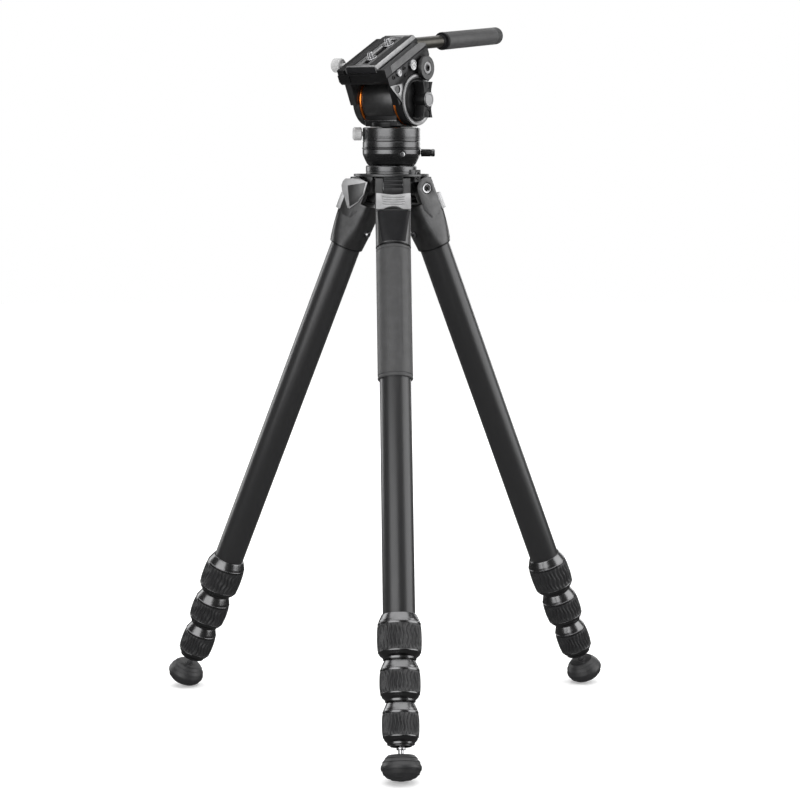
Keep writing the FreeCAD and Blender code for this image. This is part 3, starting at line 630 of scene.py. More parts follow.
def yoke_badge(side, place):
    """A blank gloss panel down the yoke's outer face, wide at the hinge and narrow at the tube."""
    top, end, proud = -28.6, -61.6, 0.3
    rows, columns = 18, 28
    points, faces = [], []
    for layer in (proud, -0.6):
        for row in range(rows + 1):
            share = row / rows
            height = top + (end - top) * share
            half = 16.8 - 5.0 * share
            for column in range(columns + 1):
                across = half * (2.0 * column / columns - 1.0)
                guess = across / YOKE_RADIUS
                for _ in range(20):
                    spot = yoke_section(guess, height)
                    guess += (across - spot.y) / YOKE_RADIUS
                out = Vector((spot.x + AXIS_INSET, spot.y)).normalized() * layer
                points.append((spot.x + out.x, spot.y + out.y, height))
    layer_size = (columns + 1) * (rows + 1)
    for face in grid_faces(rows, columns):
        faces += [face, [value + layer_size for value in reversed(face)]]
    rim = grid_rim(rows, columns)
    for index, first in enumerate(rim):
        after = rim[(index + 1) % len(rim)]
        faces.append([first, after, after + layer_size, first + layer_size])
    piece = mesh_piece(f"leg_{side}_badge", points, faces)
    rounded(piece, 0.15, 2, 50.0)
    finish_piece(piece, place, "leg_" + side, BADGE)


def yoke_trim(side, place):
    """The black lip round the tube and the clamp screw on the yoke's inner face."""
    axis = place @ moved(x=-AXIS_INSET)
    lip = [(16.1, -64.3), (18.0, -64.3, 0.4), (18.2, -63.4, 0.3), (18.1, -62.4, 0.3), (16.9, -62.2)]
    hoop(f"leg_{side}_lip", lip, axis, "leg_" + side, BLACK_METAL)
    spot = axis @ moved(z=-43.5) @ turned(-90, "Y")
    hex_head(f"leg_{side}_clamp_screw", 3.8, 16.0, 21.0, spot, "leg_" + side, STEEL)


def angle_stop(side, place):
    """The sliding stop: a pale thumb pad with finger grooves, and its dark finger under the crown plate; the
    pad's paleness is partly a painted highlight.
    """
    name = f"leg_{side}_angle_stop"
    half, top, low = 17.8, -10.2, -27.7
    span = [half * (2.0 * step / 24 - 1.0) for step in range(25)]
    outline = [(x, top - 1.7 * cos(pi * x / (2.0 * half)) ** 2) for x in span]
    outline += [(x, low + 3.2 * max(0.0, 1.0 - (x / 10.0) ** 2)) for x in reversed(span)]
    pad = slab(name + "_pad", outline, 9.2, 14.4, "x", 0)
    grooves = []
    for number in range(4):
        rise = -15.0 - number * 2.6
        line = [(11.5 * share, rise + 0.9 * share ** 2) for share in SHARES]
        outline = line + [(across, up - 0.8) for across, up in reversed(line)]
        grooves.append(slab(f"{name}_groove_{number}", outline, 13.8, 16.0, "x", 0))
    combine(pad, grooves)
    rounded(pad, 0.9, 3, 40.0)
    # The pad's pale colour is partly a painted highlight of the key light on it.
    finish_piece(pad, place, f"leg_{side}_stop", PALE_CAST_AND_HIGHLIGHT, [name])
    finger = brick(name + "_finger", (10.5, -9.8, -13.0), (14.3, 9.8, 7.0), 0)
    steps = [brick("step", (13.7, -12, 4.2 - drop), (16, 12, 5.0 - drop), 0) for drop in (0.0, 4.4, 8.8)]
    combine(finger, steps)
    rounded(finger, 0.4, 2)
    finish_piece(finger, place, f"leg_{side}_stop", DARK)


def stop_wing(place):
    """The left stop's side wing, a pale block with a dark inset that hides that side's hinge bolt; the pale
    rim round the inset is partly a painted highlight of light on the wing's edges.
    """
    outline = [(14.6, 5.0), (16.5, 1.2), (16.4, -3.5), (13.2, -9.0), (8.4, -13.5), (0.5, -22.5),
        (-2.0, -22.5), (-9.0, -12.0), (-12.2, -2.0), (-11.3, 11.8), (-1.7, 11.8)]
    wing = slab("leg_left_stop_wing", outline, 18.05, 19.5, "y", 0.5, 3)
    finish_piece(wing, place, "leg_left_stop", PALE_CAST_AND_HIGHLIGHT)
    inset = [(9.1, -0.8), (-9.4, 10.6), (-11.2, -2.0), (-8.6, -11.4), (-1.6, -20.4)]
    dark = slab("leg_left_stop_inset", inset, 19.2, 19.75, "y", 0.2, 2)
    finish_piece(dark, place, "leg_left_stop", CAST)


def hinge_bolt(side):
    """The hinge bolt: a shank with a dished socket head at each end."""
    pivot = hinge_frame(side) @ SIDEWAYS
    nodes = ["hinge_bolts"] if side == "front" else []
    shank = [(0, -15.6), (3.0, -15.6), (3.0, 15.6), (0, 15.6)]
    lathe("hinge_shank_" + side, shank, pivot, "crown", STEEL, nodes, steps=32)
    for end, flip in (("a", 0), ("b", 180)):
        place = pivot @ turned(flip, "X")
        dish = [(2.6, 15.4), (5.6, 15.4, 0.2), (5.6, 17.4, 0.4), (4.9, 17.8, 0.3), (3.5, 17.6, 0.2),
            (3.0, 16.9), (2.6, 16.9)]
        hoop(f"hinge_ring_{side}_{end}", dish, place, "crown", STEEL, steps=48)
        key = f"hinge_socket_{side}_{end}"
        hex_head(key, 2.95, 15.4, 17.2, place, "crown", BLACK_AS_STEEL, 0.62, 0.7)


for side in LEG_HEADINGS:
    place = leg_frame(side)
    axis = place @ moved(x=-AXIS_INSET)
    yoke_shell(side, place)
    yoke_badge(side, place)
    yoke_trim(side, place)
    angle_stop(side, place)
    hinge_bolt(side)
    for level in TUBES:
        leg_tube(side, level, axis)
    for level in COLLARS:
        leg_collar(side, level, axis)
    leg_foot(side, axis)
grip_sleeve(leg_frame("front") @ moved(x=-AXIS_INSET))
stop_wing(leg_frame("left"))


# ---- crown and levelling bowl
BALL_UP = 66.7


def sphere_arc(radius, start, end):
    """Points (radius, height) on a sphere round the levelling centre. Angles start from straight down."""
    angles = [radians(start + (end - start) * step / BALL_STEPS) for step in range(BALL_STEPS + 1)]
    return [(radius * sin(angle), BALL_UP - radius * cos(angle)) for angle in angles]


def crown_pieces():
    """The crown casting with its three tongues, a machined rim, hook thread collar and accessory lug."""
    cuts = []
    for heading in LEG_HEADINGS.values():
        turn = turned(heading, "Z")
        for number, (low, high) in enumerate(((2.2, 3.2), (8.6, 9.6))):
            groove = brick(f"crown_groove_{number}", (42.4, -7, low), (50, 7, high), 0)
            groove.data.transform(turn)
            cuts.append(groove)
        for sign in (-1, 1):
            cuts.append(drum_tool("scallop", 4.2, 16.0, 25.0, turn @ moved(x=39.5, y=sign * 20.5)))
    from_cad("crown", HOME, "crown", CAST, 0.6, cuts)
    rim = [(24.0, 20.0), (26.7, 20.0, 0.2), (26.7, 21.2, 0.2), (26.2, 21.6), (26.2, 22.2), (26.9, 22.6, 0.3),
        (26.9, 27.6, 0.8), (26.0, 28.7, 0.3), (24.0, 28.7)]
    hoop("crown_rim", rim, HOME, "crown", MACHINED)
    collar = [(4.4, -0.1), (9.0, -0.1, 0.4), (9.4, 0.4), (9.4, 2.0), (4.4, 2.0)]
    hoop("hook_collar", collar, HOME, "crown", MACHINED_DARK)
    lug = turned(-30, "Z") @ moved(z=18.5) @ ACROSS
    ring = [(2.7, 30.0), (4.9, 30.0), (4.9, 31.4, 0.3), (4.2, 31.7, 0.2), (2.7, 31.5)]
    hoop("lug_ring", ring, lug, "crown", MACHINED, steps=48)


def washers():
    """Thin bright washers between each cheek and the crown's tongue."""
    for side in LEG_HEADINGS:
        pivot = hinge_frame(side) @ SIDEWAYS
        for sign in (-1, 1):
            low, high = sorted((sign * 9.9, sign * 10.3))
            outline = [(3.1, low), (8.6, low, 0.1), (8.6, high, 0.1), (3.1, high)]
            name = "hinge_washer_%s_%d" % (side, sign > 0)
            hoop(name, outline, pivot, "crown", STEEL, steps=48)


def fluting(depth, count, inside, power=1):
    """A ripple of shallow flutes round Z, only where the test on radius and height holds."""
    def ripple(angle, radius, height):
        return -depth * (0.5 + 0.5 * cos(count * angle)) ** power if inside(radius, height) else 0.0

    return ripple


def levelling_bowl():
    bowl = [(0.0, 14.4), (19.9, 14.4), (19.9, 28.9), (24.0, 28.9, 0.4), (25.6, 30.4, 2.0), (27.6, 34.2, 3.0),
        (29.4, 38.2, 3.0), (30.3, 41.0, 2.0), (30.4, 45.3, 0.3), (30.0, 45.6, 0.2), (30.0, 46.3, 0.2)]
    bowl += sphere_arc(36.0, 55.5, 0.0)
    lathe("bowl_shell", bowl, HOME, "crown", MACHINED, ["level_bowl"], steps=128)
    platform = sphere_arc(33.0, 0.0, 55.0)
    platform += [(29.6, 47.5, 0.2), (30.2, 48.0, 0.2), (30.2, 53.2, 0.3), (29.9, 53.6), (4.7, 53.6),
        (4.7, 60.0), (0.0, 60.0)]
    lathe("platform_disc", platform, HOME, "platform", MACHINED, ["level_platform"], steps=128)
    knob = moved(z=42.1) @ ACROSS
    knurl = fluting(0.25, 14, lambda radius, height: radius > 3.5 and 32.6 < height < 41.0)
    stem = [(0, 30.6), (1.95, 30.6), (1.95, 31.1), (3.6, 31.1, 0.2), (3.9, 31.6), (3.9, 32.6), (3.9, 33.4),
        (3.9, 37.0), (3.9, 40.4), (3.9, 41.0), (3.3, 41.2, 0.2), (3.3, 42.0, 0.2), (0, 42.0)]
    lathe("level_knob", stem, knob, "level_lock", BLACK_METAL, ["level_lock_knob"], 96, knurl)
    tip = [(0, 41.6), (3.3, 41.6), (3.85, 42.0, 0.2), (3.85, 44.9, 0.4), (3.2, 45.5, 0.2), (1.4, 45.3),
        (0, 45.3)]
    lathe("level_knob_tip", tip, knob, "level_lock", MACHINED, steps=64)
    screw = turned(-71, "Z") @ moved(z=40.6) @ ACROSS
    hex_head("bowl_screw_head", 2.75, 29.4, 31.6, screw, "crown", STEEL, 0.5, 0.6, ["bowl_screw"])
    recess = [(2.85, 29.4), (4.3, 29.4), (4.3, 30.5, 0.2), (3.9, 30.9, 0.2), (2.85, 30.6)]
    hoop("bowl_screw_seat", recess, screw, "crown", BLACK_METAL, steps=48)
    dressed("level_liner", LINER)
    gasket = [(30.0, 45.7), (30.7, 46.0), (30.9, 46.6, 0.2), (30.8, 47.5), (30.5, 47.5), (30.2, 46.7)]
    hoop("bowl_gasket", gasket, HOME, "crown", BLACK, steps=128)


# ---- pan base
KNOB_FLUTES = 18


def fluted_knob(name, place, stem, low, high, radius, body, look, nodes):
    """A turned knob on a stem, with flutes round its grip and a dished cap."""
    outline = stem + [(radius - 1.2, low, 0.3), (radius, low + 0.9, 0.4), (radius, low + 1.4),
        (radius, low + 1.9), (radius, (low + high) / 2), (radius, high - 2.6), (radius, high - 2.0),
        (radius - 0.2, high - 1.5, 0.3), (radius - 1.7, high, 0.8), (radius - 2.4, high, 0.3),
        (radius - 2.8, high - 0.5, 0.2), (0.0, high - 0.5)]
    flute = fluting(0.25, KNOB_FLUTES, lambda reach,
        up: reach > radius - 0.15 and low + 1.6 < up < high - 2.2, 2)
    lathe(name, outline, place, body, look, nodes, KNOB_FLUTES * 8, flute)


def pan_base():
    outline = [(4.8, 53.9), (29.4, 53.9), (29.8, 54.2), (30.2, 54.6, 0.2), (30.2, 56.2, 0.15), (29.9, 56.5),
        (30.2, 56.8, 0.15), (30.2, 58.0, 0.15), (29.9, 58.3), (30.2, 58.6, 0.15), (30.2, 67.5, 0.7),
        (29.2, 68.4, 0.3), (10.1, 68.4), (10.1, 60.5), (4.8, 60.5)]
    hoop("pan_housing", outline, HOME, "platform", MACHINED, ["pan_base"], steps=160)
    seal = [(27.0, 53.4), (29.6, 53.4), (29.6, 54.1), (27.0, 54.1)]
    hoop("pan_seal", seal, HOME, "platform", BLACK)
    knob = turned(182, "Z") @ moved(z=61.7) @ ACROSS
    stem = [(0.0, 24.0), (2.4, 24.0), (2.4, 31.2)]
    # The knob's pale colour is partly a painted highlight of the side light.
    fluted_knob("pan_knob", knob, stem, 31.3, 40.7, 6.9, "pan_lock", ALLOY, ["pan_lock_knob"])


# ---- head
SIDE = TILT @ ACROSS
WELL = moved(y=-26.4, z=23.9) @ ACROSS


def head_body():
    """Turntable, pedestal and drum, with the front cover and its ledge."""
    table = [(0.0, 61.0), (9.9, 61.0), (9.9, 68.8), (22.1, 68.8, 0.2), (22.6, 69.3), (22.6, 70.4, 0.1),
        (22.2, 70.7), (22.6, 71.0, 0.1), (22.6, 73.6, 0.7), (21.7, 74.5, 0.4), (0.0, 74.5)]
    lathe("turntable", table, HEAD, "head", BLACK_METAL, ["head_body"], steps=128)
    outline = [(8.1, -22.7), (24.6, -22.7, 0.4), (25.15, -22.0), (25.15, -20.4), (25.1, -19.0), (25.1, 19.0),
        (25.15, 20.4), (25.15, 22.0), (24.6, 22.7, 0.4), (8.1, 22.7)]
    hoop("drum_shell", outline, DRUM @ ACROSS, "head", CAST, steps=160)
    foot = brick("drum_foot", (-20.0, -19.6, 69.3), (20.0, 19.6, 88.0), 1.0)
    finish_piece(foot, HEAD, "head", DARK)
    ledge = brick("drum_ledge", (-20.6, -20.8, 74.0), (20.6, 20.8, 76.6), 0.6)
    finish_piece(ledge, HEAD, "head", MACHINED)
    arc = [radians(-95 + 190 * k / 60) for k in range(61)]
    outer = [(25.9 * sin(t), -25.9 * cos(t)) for t in arc]
    inner = [(24.9 * sin(t), -24.9 * cos(t)) for t in reversed(arc)]
    cover = slab("drum_cover", [(-a, b) for a, b in outer + inner], -18.6, 18.6, "x", 0.35, 2)
    cover.data.transform(turned(-65, "X"))
    finish_piece(cover, DRUM, "head", CAST)
    for number, sign in enumerate((-1, 1)):
        low, high = sorted((sign * 20.3, sign * 22.7))
        band = [(25.2, low), (26.6, low, 0.3), (27.2, (low + high) / 2, 0.8), (26.6, high, 0.3), (25.2, high)]
        nodes = ["drum_bands"] if number == 0 else []
        hoop(f"drum_band_{number}", band, DRUM @ ACROSS, "head", ORANGE, nodes, 160)


def bed_and_sides():
    """The tilting frame: channel bed, right side with its jaw, and the bolted left side."""
    far = 90.0
    front = [
        brick("front_recess", (-16.0, -39.0, 36.4), (13.0, -36.9, 44.6), 0),
        brick("front_notch", (-30.8, -39.0, 45.6), (-22.0, -36.8, 52.0), 0),
        brick("rail_slot", (21.8, -36.0, 49.8), (24.6, 39.0, 52.0), 0),
    ]
    corner = slab("front_corner", [(-40.0, 30.0), (-32.5, 30.0), (-40.0, 41.0)], -far, far, "x", 0)
    from_cad("tilt_frame", TILT, "tilt", DARK, 0.7, [corner, jaw_slope(20.9)] + front)
    from_cad("left_side", TILT, "tilt", CAST, 0.8)
    dressed("tilt_axle", STEEL)
    outline = [(-38.0, 41.8), (41.6, 41.8), (41.6, 33.0), (36.5, 20.0), (30.0, 8.0), (-18.0, 6.0),
        (-25.5, 8.5), (-37.9, 33.5)]
    panel = slab("side_panel", outline, 31.05, 31.9, "x", 0)
    tools = [
        drum_tool("panel_ring", 27.3, 20.0, 40.0, ACROSS, 96),
        drum_tool("panel_port", 13.4, 20.0, 40.0, moved(y=ROSETTE_BACK, z=ROSETTE_UP) @ ACROSS),
        drum_tool("panel_well", 4.2, 31.2, 40.0, WELL, 32),
    ]
    combine(panel, tools)
    rounded(panel, 0.3, 2)
    finish_piece(panel, TILT, "tilt", DARK)
    # The facet is coloured silver as a painted highlight of the light falling on this side face.
    outline = [(-37.6, 32.4), (-17.0, 26.4), (-17.0, 10.0), (-25.8, 9.4)]
    facet = slab("panel_facet", outline, 31.7, 32.2, "x", 0)
    tools = [
        drum_tool("facet_ring", 27.6, 20.0, 40.0, ACROSS, 96),
        drum_tool("facet_well", 4.0, 20.0, 40.0, WELL, 32),
    ]
    finish_piece(rounded(combine(facet, tools), 0.15, 2), TILT, "tilt", SILVER_AND_PAINTED_HIGHLIGHT)
    well = drum_tool("panel_well_floor", 4.1, 31.0, 31.3, WELL, 24)
    rounded(well, 0.05, 1)
    finish_piece(well, TILT, "tilt", BLACK)


def jaw_slope(inner):
    """Tool for the slope that takes the top rear corner off the right jaw."""
    return slab("jaw_slope", [(26.0, 51.9), (60.0, 38.0), (60.0, 80.0), (26.0, 80.0)], inner, 60.0, "x", 0)


def jaw_plate():
    """The hatched outer face of the right jaw, coloured silver as a painted highlight of the light falling on
    it.
    """
    rows, columns = 16, 136
    front, back, low, high = -27.0, 41.2, 42.8, 50.4
    flat, proud, inside = 31.25, 31.65, 30.6
    points = []
    for row in range(rows + 1):
        for column in range(columns + 1):
            raised = row % 2 == 1 and column % 2 == 1
            along = front + (back - front) * column / columns
            points.append((proud if raised else flat, along, low + (high - low) * row / rows))
    total = len(points)
    faces = grid_faces(rows, columns)
    rim = grid_rim(rows, columns)
    points += [(inside, points[index][1], points[index][2]) for index in rim]
    for index, first in enumerate(rim):
        after = (index + 1) % len(rim)
        faces.append([first, rim[after], total + after, total + index])
    faces.append([total + index for index in range(len(rim))])
    piece = combine(mesh_piece("jaw_hatching", points, faces), [jaw_slope(20.0)])
    finish_piece(piece, TILT, "tilt", SILVER_AND_PAINTED_HIGHLIGHT, smooth=20.0)


def side_screws():
    """The round fittings on the right side of the bed."""
    for number, (back, up, radius, deep) in enumerate(((7.6, 35.6, 5.7, 2.6), (-18.4, 38.6, 3.9, 2.4))):
        place = TILT @ moved(y=back, z=up) @ ACROSS
        low = 31.8
        outline = [(0, low), (radius, low), (radius, low + deep - 0.4, 0.3), (radius - 0.5, low + deep, 0.3),
            (radius - 1.3, low + deep, 0.2), (radius - 1.7, low + deep - 0.6, 0.2), (0, low + deep - 0.6)]
        lathe(f"side_round_{number}", outline, place, "tilt", STEEL, steps=64)
        hex_head(f"side_round_key_{number}", radius * 0.5, low + 0.5, low + deep - 0.1, place, "tilt",
            ALLOY_AS_STEEL)
    for number, (back, up) in enumerate(((-7.0, 39.0), (-7.1, 30.8), (-28.1, 38.0), (13.7, 26.5))):
        place = TILT @ moved(y=back, z=up) @ ACROSS
        hex_head(f"side_screw_{number}", 2.2, 31.5, 33.0, place, "tilt", BLACK_AS_STEEL, 0.55, 0.7)


def tilt_lock():
    """Drag ring, its dark inner dial, the hourglass lever and the pale cap."""
    knurl = fluting(0.3, 72, lambda radius, height: radius > 26.5 and 31.9 < height < 33.0)
    ring = [(22.6, 31.3), (26.0, 31.3, 0.2), (26.8, 32.0), (26.8, 32.4), (26.8, 32.8), (26.0, 33.6, 0.3),
        (24.0, 33.6, 0.2), (22.6, 33.1)]
    lathe("drag_ring", ring, SIDE, "drag_ring", SILVER_AS_GRAPHITE, ["tilt_drag_ring"], 288, knurl, True)
    dial = [(19.3, 31.3), (22.5, 31.3), (22.5, 32.9, 0.2), (21.6, 32.6), (20.4, 33.3, 0.3), (19.3, 33.3)]
    hoop("drag_dial", dial, SIDE, "drag_ring", BLACK_METAL, steps=128)
    outline = [(5.6 + 3.4 * share * share, 18.4 * share) for share in SHARES]
    outline += [(-across, up) for across, up in reversed(outline)]
    lever = slab("lever_bar", outline, 34.2, 45.6, "x", 0)
    hub = drum_tool("lever_hub", 8.2, 34.2, 46.1, ACROSS, 64)
    combine(lever, [hub], "UNION")
    dips = [drum_tool("lever_dip", 5.2, 44.6, 48.0, moved(z=sign * 15.2) @ ACROSS, 32) for sign in (-1, 1)]
    combine(lever, dips)
    rounded(lever, 1.0, 3)
    finish_piece(lever, TILT @ turned(-HEAD_TILT, "X"), "tilt_lock", BLACK_METAL, ["tilt_lock_lever"])
    stem = [(0, 24.9), (2.9, 24.9), (2.9, 35.0), (0, 35.0)]
    lathe("lever_stem", stem, SIDE, "tilt_lock", STEEL, steps=32)
    cap = [(0, 46.2), (7.7, 46.2), (8.0, 46.5, 0.2), (8.0, 47.3, 0.5), (7.0, 48.2, 0.5), (5.6, 48.2, 0.3),
        (5.1, 47.7), (0, 47.7)]
    lathe("cap", cap, SIDE, "tilt_lock", SILVER_AS_ALLOY, ["lever_cap"])


def camera_plate():
    """The sliding plate with its rubber strips, centre slot and two camera studs."""
    section = [(-20.3, 46.9), (-20.3, 50.4), (-17.9, 54.4), (17.9, 54.4), (20.3, 51.2), (20.3, 46.9)]
    plate = slab("plate_slab", section, -35.9, 41.8, "y", 0)
    slot_y, slot_half = 3.0, 30.0
    channel = brick("plate_channel", (-3.4, slot_y - slot_half, 40), (3.4, slot_y + slot_half, 60), 0)
    trough = brick("plate_trough", (-5.5, slot_y - 32.7, 40), (5.5, slot_y + 32.7, 50.3), 0)
    sink = brick("plate_sink", (-7.2, slot_y - 33.4, 53.7), (7.2, slot_y + 33.4, 60), 0)
    strips = [brick("strip_room", (x - 4.3, -32.4, 53.6), (x + 4.3, 38.3, 60), 0) for x in (-13.6, 13.6)]
    nicks = [drum_tool("plate_nick", 1.6, 53.0, 60.0, moved(x=s * 16.0, y=39.8)) for s in (-1, 1)]
    combine(plate, [channel, trough, sink] + strips + nicks)
    rounded(plate, 0.45, 2)
    finish_piece(plate, TILT, "plate", PLATE_METAL, ["plate"])
    nose = brick("plate_nose", (-17.8, -36.5, 47.2), (17.8, -35.4, 53.6), 0.3, 2)
    finish_piece(nose, TILT, "plate", BADGE)
    bevel_face = [(17.5, 53.6), (18.1, 54.6), (20.4, 51.3), (20.4, 50.3), (19.6, 50.3)]
    finish_piece(slab("plate_rail", bevel_face, -35.7, 41.6, "y", 0.25, 2), TILT, "plate", PALE_CAST_AND_HIGHLIGHT)
    rib, count = 1.4, 50
    for number, sign in enumerate((-1, 1)):
        outline = [(-32.2, 53.6)]
        for k in range(count):
            start = -32.2 + rib * k
            outline += [(start, 54.75), (start + 0.25, 55.05), (start + rib - 0.55, 55.05),
                (start + rib - 0.3, 54.75)]
        outline.append((-32.2 + rib * count, 53.6))
        middle = sign * 13.6
        strip = slab(f"plate_strip_{number}", outline, middle - 4.1, middle + 4.1, "x", 0)
        nodes = ["plate_pads"] if number == 0 else []
        finish_piece(strip, TILT, "plate", RUBBER, nodes)
    for number, back in enumerate((-14.0, 20.0)):
        place = TILT @ moved(y=back)
        outline = [(0, 47.3), (5.1, 47.3, 0.2), (5.1, 50.0, 0.2), (3.2, 50.0), (3.2, 53.0)]
        for turn in range(6):
            up = 54.4 + turn
            outline += [(3.15, up), (2.75, up + 0.5)]
        outline += [(2.9, 60.1, 0.3), (2.3, 60.6, 0.2), (0, 60.6)]
        nodes = ["camera_screws"] if number == 0 else []
        lathe(f"camera_stud_{number}", outline, place, "plate", STEEL, nodes, steps=48)
        washer = [(3.3, 53.8), (6.4, 53.8), (6.4, 54.6, 0.2), (5.8, 54.9, 0.2), (3.3, 54.7)]
        hoop(f"stud_washer_{number}", washer, place, "plate", STEEL, steps=48)


def left_fittings():
    """The plate lock and the release button on the bed's left side."""
    knob = TILT @ moved(y=-12.9, z=46.0) @ turned(-90, "Y")
    stem = [(0.0, 24.0), (2.4, 24.0), (2.4, 40.0)]
    # The knob's pale colour is partly a painted highlight of the side light.
    fluted_knob("plate_knob", knob, stem, 39.9, 51.4, 7.3, "plate_lock", ALLOY, ["plate_lock_knob"])
    button = TILT @ moved(y=8.0, z=46.0) @ turned(-90, "Y")
    outline = [(0, 25.0), (2.9, 25.0), (2.9, 32.0, 0.4), (2.4, 32.6, 0.2), (0, 32.4)]
    lathe("release_button", outline, button, "release", ORANGE, ["plate_release_button"], steps=48)


def rosettes():
    """Two toothed discs for the pan handle or an accessory arm."""
    teeth = 60

    def tooth(angle, radius, height):
        return 0.35 * cos(teeth * angle) if 7.2 < radius < 11.3 and height > 38.0 else 0.0

    for name, turn in (("right", 90), ("left", -90)):
        place = ROSETTE @ turned(turn, "Y")
        outline = [(3.1, 31.05), (6.4, 31.05), (6.4, 33.9), (12.2, 33.9, 0.4), (12.7, 34.4),
            (12.7, 37.6, 0.5), (12.0, 38.2, 0.2), (11.4, 38.2), (11.2, 38.0), (9.2, 38.0), (7.3, 38.0),
            (7.1, 37.5), (6.6, 37.5), (3.1, 37.5)]
        nodes = ["side_rosettes"] if name == "right" else []
        lathe("rosette_" + name, outline, place, "tilt", CAST, nodes, teeth * 6, None, True, lift=tooth)
        if name == "right":
            ring = [(2.6, 36.0), (6.5, 36.0), (6.5, 38.2, 0.3), (5.6, 38.4, 0.2), (2.6, 38.0)]
            hoop("rosette_ring", ring, place, "tilt", SILVER_AS_STEEL, steps=64)
            hex_head("rosette_key", 3.6, 35.0, 38.5, place, "tilt", BLACK_AS_STEEL, 0.6, 0.8)


# ---- pan handle
ARM_START = TILT @ moved(x=-44, y=ROSETTE_BACK, z=ROSETTE_UP) @ turned(-95.6, "X")
ARM_BEND = ARM_START @ moved(z=ARM_CORNER) @ turned(ARM_TURN, "X")
GRIP_START, GRIP_END = 70.2, 191.4


def handle():
    """A bent warm-grey arm with its clamping eye, and a rubber grip with a collar and ribbed end."""
    run = 109.0
    bend_from, bend_to = 66.0, 13.5
    spots = [(0.0, 0.0, bend_from * step / 6) for step in range(7)]
    turn = radians(ARM_TURN)
    corner = Vector((0, 0, ARM_CORNER))
    ahead = Vector((0, -sin(turn), cos(turn)))
    for step in range(1, 12):
        share = step / 12
        first = corner - Vector((0, 0, 13.2)) * (1 - share)
        second = corner + ahead * bend_to * share
        spots.append(tuple(first.lerp(second, share)))
    spots += [tuple(corner + ahead * (bend_to + (run - bend_to) * step / 6)) for step in range(7)]
    curve = bpy.data.curves.new("arm_line", "CURVE")
    curve.dimensions = "3D"
    spline = curve.splines.new("POLY")
    spline.points.add(len(spots) - 1)
    for point, spot in zip(spline.points, spots):
        point.co = (*[value * MM for value in spot], 1.0)
    curve.bevel_depth = 6.7 * MM
    curve.bevel_resolution = 12
    curve.use_fill_caps = True
    bar = new_object("arm_line", curve)
    bpy.context.view_layer.update()
    mesh = bpy.data.meshes.new_from_object(bar.evaluated_get(bpy.context.evaluated_depsgraph_get()))
    bpy.data.objects.remove(bar)
    arm = new_object("handle_bar", mesh)
    eye_place = ROSETTE @ turned(-90, "Y")
    within = ARM_START.inverted() @ eye_place
    rosette_room = drum_tool("rosette_room", 13.5, 20.0, 38.8, within)
    combine(arm, [rosette_room, drum_tool("bolt_room", 6.6, 50.0, 70.0, within)])
    finish_piece(arm, ARM_START, "handle", WARM, ["handle_arm"], settled=True)
    eye = [(3.1, 38.8), (11.4, 38.8, 0.5), (12.0, 39.6), (12.0, 48.9, 0.9), (11.0, 50.0, 0.4),
        (7.0, 50.0, 0.2), (6.6, 49.6), (3.1, 49.6)]
    hoop("handle_eye", eye, eye_place, "handle", WARM)
    bolt = [(0, 26.0), (2.95, 26.0), (2.95, 50.3), (6.0, 50.3, 0.2), (6.0, 53.6, 0.5), (5.2, 54.0, 0.2),
        (3.0, 54.0), (2.7, 52.0), (0, 52.0)]
    lathe("handle_clamp_bolt", bolt, eye_place, "handle", STEEL, ["handle_bolt"], steps=48)
    ribs = 4
    near = GRIP_START + 4.4
    grip = [(6.8, near + 2.0), (8.7, near + 2.0), (8.7, near + 3.9), (9.6, near + 3.9, 0.2),
        (9.8, near + 4.6)]
    for k in range(ribs):
        start = GRIP_END - 12.0 + 2.2 * k
        grip += [(9.75, start, 0.1), (9.35, start + 0.35, 0.1), (9.35, start + 0.75, 0.1),
            (9.75, start + 1.1, 0.1)]
    grip += [(9.4, GRIP_END - 2.6, 1.5), (7.4, GRIP_END - 0.6, 1.5), (4.0, GRIP_END, 1.0), (0, GRIP_END)]
    grip += [(0, 110.0), (6.8, 110.0)]
    collar = [(6.8, GRIP_START), (7.3, GRIP_START, 0.2), (7.3, near), (9.5, near), (9.9, near + 0.4),
        (9.9, near + 3.6, 0.3), (8.8, near + 3.8), (8.8, near + 2.0), (6.8, near + 2.0)]
    hoop("grip_collar", collar, ARM_BEND, "handle", BADGE_AS_RUBBER)
    lathe("grip_body", grip, ARM_BEND, "handle", FOAM, ["handle_grip"], settled=True)


crown_pieces()
washers()
levelling_bowl()
pan_base()
head_body()
bed_and_sides()
jaw_plate()
side_screws()
tilt_lock()
camera_plate()
left_fittings()
rosettes()
handle()


# ---- stage, light and camera
def pale(name, colour, glow):
    material, tree, shader = new_material(name)
    drift = noise(tree, 1.5, 3.0)
    tint = ramp(tree, drift, "Fac", [c * 0.985 for c in colour], colour)
    link(tree, tint, "Color", shader, "Base Color")
    link(tree, tint, "Color", shader, "Emission Color")
    put(shader, Emission_Strength=glow, Roughness=0.85)
    return material


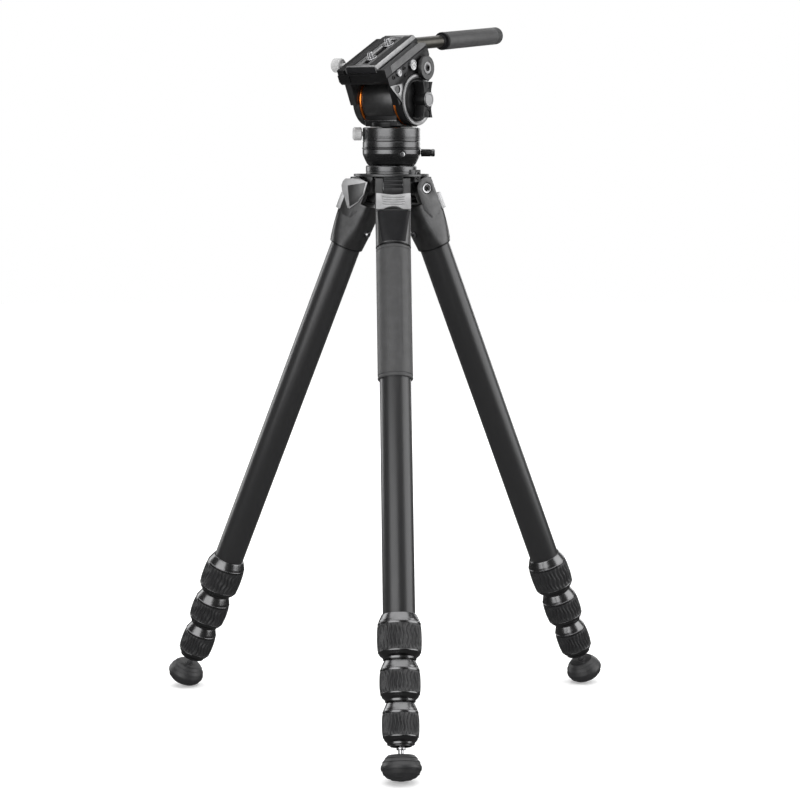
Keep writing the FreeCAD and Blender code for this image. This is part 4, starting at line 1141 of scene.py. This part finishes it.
def softbox(name, size, power, place, aim):
    """A large soft area light at a place, pointing at a spot, in metres."""
    data = bpy.data.lights.new(name, "AREA")
    data.shape = "RECTANGLE"
    data.size, data.size_y = size
    data.energy = power
    lamp = new_object(name, data)
    lamp.location = place
    lamp.rotation_euler = (Vector(aim) - Vector(place)).to_track_quat("-Z", "Y").to_euler()
    lamp.visible_camera = False


def studio():
    ground = cad_low.z / MM
    reach = 6000.0
    corners = [(x * reach, y * reach, ground) for x, y in ((-1, -1), (1, -1), (1, 1), (-1, 1))]
    floor = mesh_piece("floor", corners, [[0, 1, 2, 3]])
    floor.data.materials.append(pale("pale_floor", (0.9, 0.9, 0.9), 0.3))
    floor.visible_glossy = False
    world = bpy.data.worlds.new("studio")
    bpy.context.scene.world = world
    world.use_nodes = True
    tree = world.node_tree
    shade = tree.nodes["Background"]
    put(shade, Color=(1.0, 1.0, 1.0, 1.0))
    path = tree.nodes.new("ShaderNodeLightPath")
    strength = grey_range(tree, path, "Is Camera Ray", 0.1, 1.0)
    link(tree, strength, "Result", shade, "Strength")
    aim = (0.0, 0.0, -0.1)
    softbox("left_key", (3.2, 2.4), 66.0, (-1.55, -2.55, 0.5), aim)
    softbox("right_key", (2.8, 2.4), 60.0, (2.62, -0.4, 0.5), aim)
    softbox("back_left", (1.2, 2.2), 24.0, (-2.2, 1.9, 0.5), aim)
    softbox("back_right", (1.6, 2.2), 22.0, (1.2, 2.6, 0.6), aim)
    data = bpy.data.lights.new("overhead", "SUN")
    data.energy = 2.6
    data.angle = radians(80)
    new_object("overhead", data)
    bpy.context.scene.view_settings.view_transform = "Standard"


def camera():
    data = bpy.data.cameras.new("camera")
    data.sensor_width = 36.0
    data.lens = 98.4928
    data.clip_start, data.clip_end = 0.01, 100.0
    eye = new_object("camera", data)
    eye.location = (-0.0934990, -2.3083251, 0.0537007)
    eye.rotation_euler = [radians(angle) for angle in (83.26767, -0.13742, -2.54063)]
    bpy.context.scene.camera = eye


studio()
camera()
